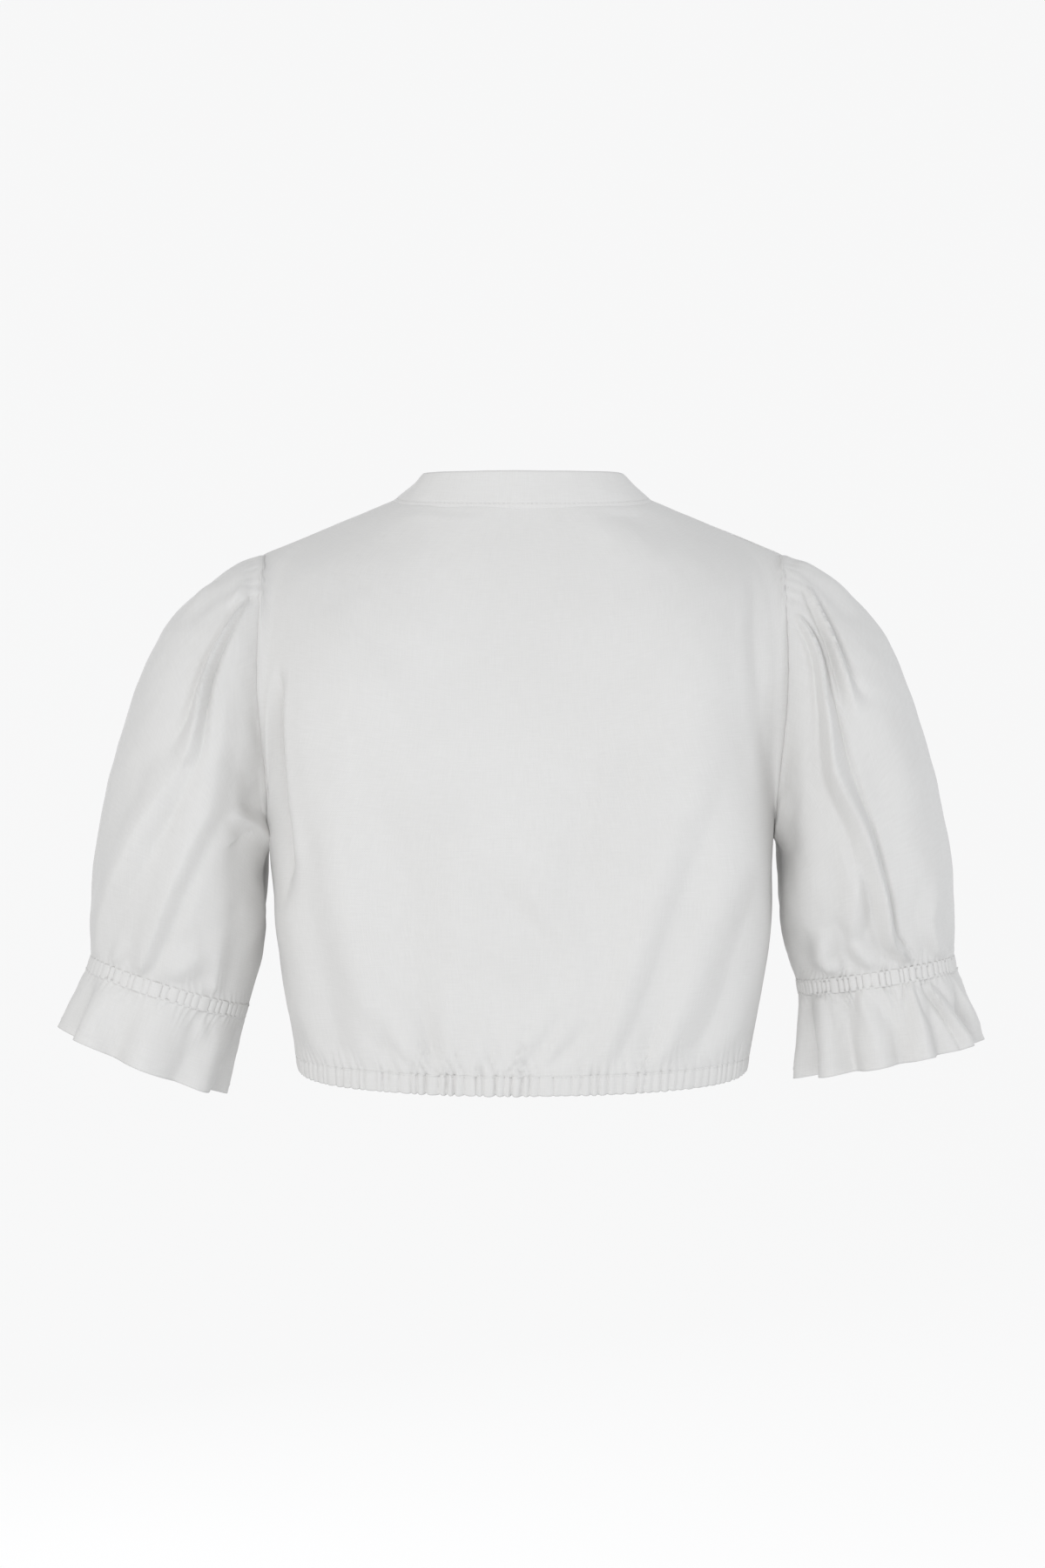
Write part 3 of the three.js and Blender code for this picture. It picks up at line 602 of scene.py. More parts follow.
class Graph:
    """The nodes of one material."""

    def __init__(self, name: str) -> None:
        """Starts a material with only its surface shader and its output."""
        self.material = bpy.data.materials.new(name)
        self.material.use_nodes = True
        self.tree = self.material.node_tree
        self.tree.nodes.clear()
        output = self.tree.nodes.new("ShaderNodeOutputMaterial")
        self.shader = self.tree.nodes.new("ShaderNodeBsdfPrincipled")
        self.tree.links.new(self.shader.outputs[0], output.inputs[0])

    def feed(self, socket: bpy.types.NodeSocket, value: object) -> None:
        """Links a socket to another one, or sets its value."""
        if isinstance(value, Value):
            value = value.socket
        if isinstance(value, bpy.types.NodeSocket):
            self.tree.links.new(value, socket)
        else:
            socket.default_value = value

    def node(
        self, kind: str, settings: dict[str, object], inputs: dict[str | int, object],
    ) -> bpy.types.Node:
        """Adds a node.

        Args:
            kind: the node's type.
            settings: its own settings, set first.
            inputs: the value or the link of each socket that isn't left alone.

        Returns:
            The node.
        """
        node = self.tree.nodes.new(kind)
        for name, value in settings.items():
            setattr(node, name, value)
        for key, value in inputs.items():
            self.feed(node.inputs[key], value)
        return node

    def maths(self, operation: str, *operands: Value | float) -> Value:
        """Adds a Math node."""
        node = self.node("ShaderNodeMath", {"operation": operation}, dict(enumerate(operands)))
        return Value(self, node.outputs[0])

    def noise(self, vector: object, scale: float, detail: float) -> Value:
        """Adds noise of a scale on a vector."""
        inputs = {"Vector": vector, "Scale": scale, "Detail": detail}
        return Value(self, self.node("ShaderNodeTexNoise", {}, inputs).outputs["Fac"])

    def place(self) -> bpy.types.NodeSocket:
        """Gives the place on the object, in metres."""
        return self.node("ShaderNodeTexCoord", {}, {}).outputs["Object"]

    def blend(self, share: Value, dark: Colour, light: Colour) -> bpy.types.NodeSocket:
        """Mixes two colours by a share."""
        node = self.node("ShaderNodeMix", {"data_type": "RGBA"}, {0: share, 6: dark, 7: light})
        return node.outputs[2]

    def bump(
        self, height: Value, strength: float, distance: float, under: object = None,
    ) -> bpy.types.NodeSocket:
        """Turns a height into a normal, over another one if it is given."""
        inputs = {"Height": height, "Strength": strength, "Distance": distance}
        if under is not None:
            inputs["Normal"] = under
        return self.node("ShaderNodeBump", {}, inputs).outputs[0]

    def finish(self, **inputs: object) -> bpy.types.Material:
        """Sets the surface shader's sockets, named with _ for a space, and gives the material back."""
        for name, value in inputs.items():
            self.feed(self.shader.inputs[name.replace("_", " ")], value)
        return self.material


def colour(red: float, green: float, blue: float) -> Colour:
    """Gives an opaque colour."""
    return (red, green, blue, 1.0)


@dataclass(frozen=True)
class PlainWeave:
    """Matt white cotton in a fine plain weave, with faint slubs both ways.

    yarn is the distance between two yarns in metres. slubs are the scales that draw the noise out along the
    yarns, once each way, and tones are the shares of slubs, clouds and weave in the colour.
    """

    name: str
    light: Colour = colour(0.745, 0.738, 0.724)
    dark: Colour = colour(0.685, 0.676, 0.66)
    yarn: float = 0.00046
    roughness: float = 0.86
    roughness_change: float = 0.08
    slubs: tuple[Vector, Vector] = ((90.0, 1500.0, 1.0), (1500.0, 70.0, 1.0))
    slub_detail: float = 3.0
    slub_relief: float = 0.00022
    slub_bump: float = 0.55
    weave_relief: float = 0.2
    weave_bump: float = 0.22
    cloud: tuple[float, float] = (14.0, 2.0)
    tones: Vector = (0.9, 0.35, 0.06)
    tone_range: tuple[float, float] = (0.38, 0.86)
    sheen: tuple[float, float] = (0.18, 0.45)
    specular: float = 0.28

    def make(self) -> bpy.types.Material:
        """Builds the material.

        The weave is a sine across times a sine along, so that each yarn rises over one and dips under the
        next.

        Returns:
            The material.
        """
        graph = Graph(self.name)
        place = graph.node("ShaderNodeUVMap", {"uv_map": UV_LAYER}, {}).outputs[0]
        split = graph.node("ShaderNodeSeparateXYZ", {}, {0: place})
        across, along = Value(graph, split.outputs[0]), Value(graph, split.outputs[1])
        turn = np.pi / self.yarn
        weave = (across * turn).sine() * (along * turn).sine()
        slubs = []
        for stretch in self.slubs:
            drawn = graph.node("ShaderNodeMapping", {}, {"Vector": place, "Scale": stretch}).outputs[0]
            slubs.append(graph.noise(drawn, 1.0, self.slub_detail))
        yarns = (slubs[0] + slubs[1]) * 0.5
        cloud = graph.noise(graph.place(), *self.cloud)
        tone = yarns * self.tones[0] + cloud * self.tones[1] + weave * self.tones[2]
        low, high = self.tone_range
        ends = {"Value": tone, "From Min": low, "From Max": high}
        shade = graph.node("ShaderNodeMapRange", {"clamp": True}, ends).outputs[0]
        soft = graph.bump(yarns, self.slub_bump, self.slub_relief)
        return graph.finish(
            Base_Color=graph.blend(Value(graph, shade), self.dark, self.light),
            Roughness=self.roughness - yarns * self.roughness_change,
            Normal=graph.bump(weave, self.weave_bump, self.yarn * self.weave_relief, soft),
            Sheen_Weight=self.sheen[0],
            Sheen_Roughness=self.sheen[1],
            Specular_IOR_Level=self.specular,
        )


@dataclass(frozen=True)
class Grained:
    """A finish in two colours that run into each other as clouds, with a finer wear in its gloss.

    cloud and wear are the scale and the detail of their noise, coat and sheen a weight and a roughness.
    """

    name: str
    light: Colour
    dark: Colour
    cloud: tuple[float, float]
    wear: tuple[float, float]
    roughness: float
    roughness_change: float
    bump: float
    coat: tuple[float, float]
    sheen: tuple[float, float]
    relief: float = 0.0001

    def make(self) -> bpy.types.Material:
        """Builds the material."""
        graph = Graph(self.name)
        cloud, wear = graph.noise(graph.place(), *self.cloud), graph.noise(graph.place(), *self.wear)
        return graph.finish(
            Base_Color=graph.blend(cloud, self.dark, self.light),
            Roughness=self.roughness + wear * self.roughness_change,
            Normal=graph.bump(cloud, self.bump, self.relief),
            Coat_Weight=self.coat[0],
            Coat_Roughness=self.coat[1],
            Sheen_Weight=self.sheen[0],
            Sheen_Roughness=self.sheen[1],
        )


MILKY_RESIN = Grained(
    "milky_resin", colour(0.88, 0.87, 0.84), colour(0.8, 0.79, 0.76), (260.0, 3.0), (2400.0, 2.0),
    0.28, 0.12, 0.08, (0.3, 0.15), (0.0, 0.5))
SEWING_THREAD = Grained(
    "sewing_thread", colour(0.78, 0.775, 0.765), colour(0.68, 0.675, 0.665), (3600.0, 1.0), (3600.0, 1.0),
    0.62, 0.1, 0.4, (0.0, 0.03), (0.1, 0.5))


@dataclass
class Sewing:
    """Rows of stitches, each a short thread that dips into the cloth at both ends.

    shares are the places along a stitch that have a ring of points. arch is how high its middle lies and
    sunk how low its ends do, in radii, and end_share is what is left of the radius there, squared.
    """

    name: str
    length: float = 2.3
    gap: float = 0.7
    radius: float = 0.17
    sides: int = 4
    shares: tuple[float, ...] = (0.0, 0.2, 0.8, 1.0)
    arch: float = 1.1
    sunk: float = 0.5
    end_share: float = 0.04
    rows: list[tuple[Array, Array]] = field(default_factory=list)

    def row(self, line: Array, outward: Array) -> None:
        """Adds a row of stitches.

        Args:
            line: points along the seam, on the cloth.
            outward: the way out of the cloth at each of them.
        """
        self.rows.append((line, outward))

    def stitches(self, line: Array, outward: Array) -> tuple[Array, Array]:
        """Works out the stitches of one row.

        A stitch is raised by an arch of a sine above the cloth, and its radius is that of the thread times
        the square root of the arch, so that its ends close.

        Args:
            line: points along the seam.
            outward: the way out at each of them.

        Returns:
            The vertices and the four-sided faces of the whole row.
        """
        walked = walk(line)
        count = int(walked[-1] // (self.length + self.gap))
        starts = np.arange(count) * walked[-1] / max(count, 1) + self.gap / 2
        shares = np.array(self.shares)
        at = starts[:, None] + shares * self.length
        centre, out = follow(line, walked, at), unit(follow(outward, walked, at))
        beside = unit(np.cross(out, unit(centre[:, -1:] - centre[:, :1])))
        arch = np.sin(np.pi * shares)
        centre = centre + out * (self.radius * (self.arch * arch - self.sunk))[:, None]
        thick = self.radius * np.sqrt(np.maximum(arch, self.end_share))
        angle = full_turn(self.sides)
        ring = out[:, :, None] * np.sin(angle)[:, None] + beside[:, :, None] * np.cos(angle)[:, None]
        vertices = centre[:, :, None] + ring * thick[:, None, None]
        first = np.arange(count)[:, None, None] * len(shares) * self.sides
        faces = first + quads(len(shares), self.sides)
        return vertices.reshape(-1, 3), faces.reshape(-1, 4)

    def build(self, material: bpy.types.Material) -> bpy.types.Object:
        """Makes all the rows one object."""
        vertices, faces, used = [], [], 0
        for line, outward in self.rows:
            points, corners = self.stitches(line, outward)
            vertices.append(points)
            faces.append(corners + used)
            used += len(points)
        return new_object(self.name, np.concatenate(vertices), np.concatenate(faces), material)


BACK_CREASES = (
    Crease(((152, -112, 2.4, 0), (154, -130, 2.8, 7), (155, -150, 3.2, 11), (155, -176, 3.6, 14),
            (154.5, -204, 4.2, 15), (153, -228, 4.8, 13), (152, -248, 6, 6),
            (153, -268, 7, 0)), -0.3, 0.7, 0.2),
    Crease(((-46, -6, 6, 0), (-62, -10, 9, 1.6), (-84, -18, 10, 1.4), (-108, -28, 10, 0))),
    Crease(((84, -8, 4, 0), (62, -6, 3.5, 1.2), (40, -8, 4, 1), (22, -10, 4, 0)), 0.0, 0.2),
    Crease(((140, -112, 9, 0), (141, -141, 9, -1.8), (140, -174, 9, -1.8), (136, -207, 8, 0))),
    Crease(((116, -118, 14, 0), (106, -157, 16, 2.2), (95, -193, 17, 3.4), (85, -219, 18, 4),
            (74, -246, 18, 4.2), (70, -290, 16, 4.2), (66, -322, 12, 4.4), (60, -345, 7, 4.6),
            (56, -363, 5, 4.6), (54.5, -374, 4, 4)), 0.2, 0.35),
    Crease(((118, -205, 9, 0), (115, -232, 10, -2), (106, -280, 11, -2.4), (98, -318, 10, -2),
            (90, -350, 8, 0))),
    Crease(((140, -196, 7, 0), (138.5, -232, 7, 2), (134, -276, 9, 2.6), (127, -316, 10, 3.6),
            (120, -343, 8, 3.6), (116, -371, 6, 3)), -0.2, 0.3),
    Crease(((36, -232, 8, 0), (16, -253, 10, 2.2), (1, -269, 10, 2.8), (-14, -284, 10, 2.6),
            (-23, -303, 10, 1.8), (-22, -326, 10, 0)), 0.35, 0.2),
    Crease(((-66, -130, 6, 0), (-66, -168, 6, 1.2), (-60, -190, 6, 1.6), (-53, -210, 6, 0)), -0.3, 0.3),
    Crease(((-48, -150, 10, 0), (-35, -193, 12, 1.6), (-37, -240, 14, 2.4), (-41, -276, 12, 2),
            (-46, -306, 10, 0))),
    Crease(((-98, -222, 11, 0), (-92, -250, 12, -2.2), (-74, -300, 12, -2.6), (-60, -340, 10, -2),
            (-50, -368, 8, 0))),
    Crease(((-130, -160, 9, 0), (-125, -196, 11, 2.2), (-116, -219, 12, 3.2), (-105, -245, 12, 3.8),
            (-95, -270, 12, 3.8), (-80, -315, 10, 3.8), (-72, -337, 9, 3.6), (-64, -356, 7, 3.2),
            (-60, -372, 6, 2.6)), -0.25, 0.4),
    Crease(((-152, -236, 8, 0), (-144, -269, 10, 3.2), (-135, -294, 11, 3.8), (-128, -320, 10, 3.8),
            (-116, -346, 9, 3.6), (-108, -366, 8, 3)), 0.3, 0.4),
    Crease(((-148, -44, 5, 0), (-149, -70, 6, 2.2), (-148, -104, 6, 2.4), (-150, -134, 6, 1.8),
            (-156, -170, 6, 1.8), (-158, -200, 6, 0)), -0.3, 0.3),
    Crease(((-88, -322, 5, 0), (-85, -336, 5, 1.6), (-78, -355, 5, 3), (-71, -369, 4, 2.6)), 0.0, 0.6),
    Crease(((-30, -322, 4, 0), (-15, -345, 4, 1.8), (-6, -358, 4, 2.2), (1, -370, 4, 2)), 0.0, 0.5),
    Crease(((-44, -332, 4, 0), (-30, -350, 4, 1.6), (-20, -362, 4, 1.8), (-14, -371, 4, 1.4)), 0.0, 0.5),
    Crease(((20, -342, 4, 0), (20.5, -358, 3.5, 2.2), (20, -372, 3.5, 2.4)), 0.0, 0.6),
    Crease(((71, -185, 9, 0), (55, -218, 10, 1.2), (33, -245, 10, 0)), 0.3),
    Crease(((-109, -76, 14, 0), (-76, -98, 14, 1.1), (-49, -125, 14, 0))),
    Crease(((112, -70, 12, 0), (87, -98, 13, 1.1), (60, -130, 12, 0))),
    Crease(((94, -326, 6, 0), (88, -345, 6, 2), (84, -368, 5, 2.2)), 0.2, 0.4),
    Crease(((150, -330, 6, 0), (146, -350, 6, 1.8), (140, -368, 5, 2)), 0.0, 0.4),
)

FRONT_CREASES = {
    Side.LEFT: (
        Crease(((146, -112, 7, 0), (138, -150, 8, 3.6), (124, -186, 9, 3.2),
                (108, -214, 9, 0)), -0.4, 0.4),
        Crease(((100, -250, 10, 0), (92, -296, 11, 3.6), (84, -340, 9, 4), (78, -368, 6, 3.4)), 0.3, 0.4),
        Crease(((62, -256, 9, 0), (58, -306, 10, 2.8), (52, -368, 6, 2.8)), -0.3, 0.3),
        Crease(((128, -262, 8, 0), (124, -310, 9, 3), (116, -366, 6, 2.6)), 0.3, 0.4),
        Crease(((34, -280, 8, 0), (32, -330, 8, 2.2), (30, -369, 5, 2.2)), 0.0, 0.4),
        Crease(((84, -262, 12, 0), (74, -310, 12, -2), (66, -360, 9, -1.2))),
        Crease(((96, -60, 10, 0), (80, -96, 11, 1.4), (58, -124, 10, 0))),
        Crease(((155, -150, 6, 0), (156, -186, 6, 4), (154, -220, 6, 4.4), (152, -250, 7, 0)), 0.2, 0.6),
    ),
    Side.RIGHT: (
        Crease(((148, -118, 7, 0), (139, -158, 8, 3.8), (122, -198, 9, 3), (104, -222, 9, 0)), -0.4, 0.4),
        Crease(((108, -244, 10, 0), (98, -300, 11, 3.8), (90, -368, 6, 3.4)), 0.4, 0.4),
        Crease(((70, -262, 9, 0), (64, -318, 10, 3.2), (60, -369, 6, 3)), -0.2, 0.4),
        Crease(((42, -268, 8, 0), (38, -322, 8, 2.4), (40, -369, 5, 2)), 0.0, 0.4),
        Crease(((132, -270, 8, 0), (128, -322, 8, 2.6), (124, -366, 5, 2.2)), 0.0, 0.4),
        Crease(((88, -56, 10, 0), (76, -88, 11, 1.6), (60, -112, 10, 0))),
        Crease(((156, -158, 6, 0), (158, -190, 6, 3.6), (156, -222, 6, 4), (152, -248, 7, 0)), 0.2, 0.6),
    ),
}

LEFT_SLEEVE_BACK = (
    Crease(((176, -66, 1.6, 1.5), (183, -80, 1.7, 5), (191, -96, 2, 8), (198, -113, 2.4, 10),
            (203, -132, 2.8, 11), (207, -149, 3.6, 8), (212, -166, 5, 3.5)), 0.3, 0.8, 0.35),
    Crease(((209, -158, 6, 1), (218, -176, 7, 3.6), (226, -188, 8, 4.2), (236, -203, 8, 4.6),
            (247, -221, 8, 4.6), (257, -241, 7.5, 4.4), (266, -261, 7, 4), (272, -280, 6, 3),
            (275, -294, 5, 1.5)), 0.5, 0.45, 0.4),
    Crease(((176, -53, 3, 0), (181, -62, 3.5, 3), (187, -73, 4, 0)), 0.0, 0.6),
    Crease(((196, -52, 4, 0), (206, -62, 5, 2.6), (214, -71, 5, 2), (222, -82, 5, 0)), 0.4, 0.4),
    Crease(((188, -110, 8, 0), (189, -140, 8, 1.4), (194, -170, 8, 2.2), (200, -201, 8, 3),
            (210, -221, 8, 3.8), (221, -245, 7.5, 4.6), (230, -268, 7, 4.8), (239, -291, 6, 4.2),
            (245, -306, 4, 3)), 0.5, 0.4, 0.4),
    Crease(((186, -203, 4, 0), (178, -208, 4.5, 4), (171, -214, 6, 7), (167, -232, 8, 8), (169, -262, 7, 5),
            (176, -292, 6, 1)), 0.0, 0.5, 0.2),
    Crease(((182, -166, 8, 0), (173, -184, 8, -2.2), (172, -200, 7, -2.6), (171, -208, 5, 0))),
    Crease(((201, -292, 7, 0), (209, -297, 7, 2.4), (220, -304, 7, 2.6), (228, -310, 6, 0)), 0.0, 0.3),
    Crease(((192, -270, 5, 0), (195, -292, 5, 1.8), (199, -316, 4, 2.2)), 0.0, 0.4),
    Crease(((252, -284, 4, 0), (256, -291, 4, 1.6), (263, -300, 3.5, 2.2)), 0.0, 0.5),
    Crease(((228, -190, 8, 0), (222, -208, 8, -1.6), (232, -240, 8, -1.6), (243, -270, 7, 0))),
)

RIGHT_SLEEVE_BACK = (
    Crease(((183, -58, 1.8, 0), (185, -66, 1.9, 4.5), (190, -80, 2, 7), (195, -93, 2.2, 8),
            (200, -108, 2.6, 9), (204, -120, 3, 8), (208, -131, 4, 4.5),
            (214, -142, 5, 0)), 0.3, 0.8, 0.35),
    Crease(((175, -76, 1.8, 0), (183, -91, 2, 6), (188, -107, 2.3, 8), (191, -126, 2.8, 9),
            (195, -146, 3.6, 10), (199, -170, 4.6, 11), (203, -184, 5, 11), (209, -197, 4.6, 10.5),
            (216, -213, 4.2, 10), (222, -231, 4, 10), (227, -247, 3.7, 9), (231, -263, 3.5, 9),
            (235, -282, 3.2, 8), (242, -291, 2.8, 7), (250, -301, 3, 3)), -0.6, 0.8, 0.35),
    Crease(((182, -150, 7, 0), (182, -172, 7, 1.4), (180, -200, 7, 2), (180, -222, 8, 3),
            (180, -250, 9, 3.2), (183, -276, 8, 2), (187, -292, 6, 0)), 0.0, 0.2),
    Crease(((209, -205, 6, 0), (212, -228, 6.5, 2.6), (213, -249, 6.5, 3.6), (211, -270, 6, 3),
            (209, -284, 5, 2.6), (215, -292, 4, 3.4), (223, -300, 3.5, 2.6)), -0.3, 0.6, 0.35),
    Crease(((193, -276, 5, 0), (195, -288, 6.5, 5), (197, -298, 6.5, 6),
            (204, -309, 5, 3)), 0.0, 0.4, 0.5),
    Crease(((262, -236, 6, 0), (264, -254, 6, 2), (261, -272, 5, 2.6), (264, -286, 4.5, 4.2),
            (270, -302, 4, 4)), 0.3, 0.7, 0.35),
    Crease(((176, -42, 4, 0), (185, -44, 4.5, 2.8), (196, -52, 5, 3.4), (207, -63, 5, 3),
            (218, -76, 5, 0)), 0.3, 0.5),
    Crease(((163, -188, 4, 0), (164, -202, 5, 4), (163, -220, 6, 6), (163, -240, 7, 8), (167, -254, 6, 4),
            (172, -280, 6, 0)), 0.0, 0.5, 0.2),
    Crease(((218, -150, 9, 0), (226, -190, 10, -2), (236, -232, 9, -2.4), (246, -268, 8, -1.8),
            (252, -290, 6, 0))),
    Crease(((232, -130, 10, 0), (243, -174, 10, 1.4), (252, -213, 9, 0))),
    Crease(((200, -268, 5, 0), (203, -281, 5, -2.2), (202, -294, 5, -2.6), (207, -306, 5, 0))),
)

LEFT_SLEEVE_FRONT = (
    Crease(((176, -64, 3, 1), (186, -92, 4, 5), (198, -128, 5, 7), (210, -170, 6, 6), (222, -220, 7, 4),
            (232, -262, 8, 0)), 0.4, 0.7, 0.35),
    Crease(((190, -190, 7, 0), (204, -230, 8, 4), (216, -272, 7, 4.8),
            (224, -304, 4, 3)), -0.4, 0.5, 0.35),
    Crease(((228, -190, 9, 0), (242, -232, 9, -2.8), (252, -276, 7, -1.6), (256, -296, 6, 0))),
    Crease(((250, -250, 7, 0), (256, -278, 6, 3), (258, -300, 4, 3)), 0.2, 0.5),
    Crease(((172, -200, 6, 0), (173, -236, 7, 4.4), (182, -286, 6, 2)), 0.0, 0.4),
    Crease(((176, -52, 3, 0), (184, -64, 4, 3), (192, -80, 4, 0)), 0.0, 0.6),
)

RIGHT_SLEEVE_FRONT = (
    Crease(((174, -66, 3, 1), (184, -98, 4, 5.5), (194, -140, 5, 6.5), (206, -190, 7, 6),
            (220, -240, 6.5, 5.4), (234, -298, 4, 3)), 0.5, 0.75, 0.35),
    Crease(((196, -206, 7, 0), (204, -250, 8, 4), (206, -304, 4, 3)), -0.3, 0.5, 0.35),
    Crease(((226, -168, 9, 0), (240, -214, 9, -2.8), (250, -262, 7, -2), (254, -292, 6, 0))),
    Crease(((252, -240, 7, 0), (260, -272, 6, 3.2), (264, -300, 4, 3)), 0.2, 0.5),
    Crease(((172, -200, 6, 0), (174, -240, 7, 4.4), (186, -292, 6, 2)), 0.0, 0.4),
    Crease(((188, -52, 3, 0), (198, -66, 4, 3.4), (208, -86, 5, 0)), 0.0, 0.6),
)

LEFT_FRILL = (
    Crease(((205, -334, 3, 0), (207, -342, 3, 1.6), (209, -352, 4, 0)), 0.0, 0.4),
    Crease(((186, -338, 4, 0), (190, -356, 6, 2.4), (193, -378, 6, 2)), 0.2, 0.4),
    Crease(((268, -316, 6, 0), (276, -336, 8, 1.6), (280, -356, 8, 1.4)), 0.3, 0.2),
)

RIGHT_FRILL = (
    Crease(((260, -315, 2, 2.5), (270, -328, 2.5, 4.5), (282, -344.5, 3, 4.5),
            (288, -355, 3.5, 3)), 0.5, 0.9, 0.5),
    Crease(((248, -313, 2, 2), (252, -328, 2.6, 3.2), (256, -342, 4, 3),
            (258.5, -360, 5, 1.5)), -0.4, 0.7, 0.4),
    Crease(((217, -320, 2.5, 2), (219, -328, 3.5, 3), (223, -340, 5, 2), (227, -352, 6, 0)), 0.2, 0.5),
    Crease(((193, -316, 2.5, 1.5), (194, -330, 4, 2.6), (194, -346, 6, 1.4), (194, -360, 6, 0)), 0.0, 0.4),
    Crease(((278, -310, 2, 1), (288, -328, 3, 3.4), (298, -342, 3.5, 2.5)), 0.3, 0.7),
    Crease(((232, -318, 2, 1), (236, -330, 3, 2), (240, -344, 5, 0)), 0.0, 0.5),
)

LEFT_RIBS = Ribs(60, 1.9, 5.4, 0.3, 6.0, 18.0, 171, (
    (0.0, 0.25), (0.1, 0.3), (0.147, 0.95), (0.185, 0.5), (0.228, 1.1), (0.28, 0.35), (0.33, 0.5),
    (0.37, 1.25), (0.42, 0.6), (0.5, 0.5), (0.7, 0.9), (0.9, 0.6), (1.0, 0.25)))

RIGHT_RIBS = Ribs(72, 2.1, 4.5, 0.4, 7.0, 22.0, 191, (
    (0.0, 0.35), (0.08, 0.4), (0.13, 0.85), (0.2, 1.1), (0.3, 1.2), (0.38, 1.3), (0.43, 0.7), (0.5, 0.5),
    (0.6, 0.6), (0.75, 0.9), (0.9, 0.8), (1.0, 0.35)))


@dataclass(frozen=True)
class ArmholeSeam:
    """How an armhole's seam strays from its smooth line: bowed out half way up, puckered near the top.

    Each has its height on the seam, how far it spreads up and down it, and how far it reaches from it.
    """

    bow: float = 3.2
    bow_height: float = -122.0
    bow_spread: float = 46.0
    bow_reach: float = 38.0
    pucker: float = 1.0
    pucker_height: float = -58.0
    pucker_spread: float = 17.0
    pucker_reach: float = 7.0
    pucker_length: float = 8.5
    unevenness: float = 0.8
    uneven_length: float = 5.0

    def stray(self, height: Array, away: Array) -> Array:
        """Works out how far out each point moves.

        A broad bell on the height for the bow, and a sine under a narrower bell for the puckers.

        Args:
            height: the height of each point.
            away: the distance from the seam.

        Returns:
            The move away from the middle of the body.
        """
        bow = self.bow * bell(height - self.bow_height, self.bow_spread) * bell(away, self.bow_reach)
        uneven = self.unevenness * np.sin(height / self.uneven_length)
        wave = np.sin(2 * np.pi * height / self.pucker_length + uneven)
        puckered = bell(height - self.pucker_height, self.pucker_spread) * bell(away, self.pucker_reach)
        return bow + self.pucker * puckered * wave


SEAM = ArmholeSeam()


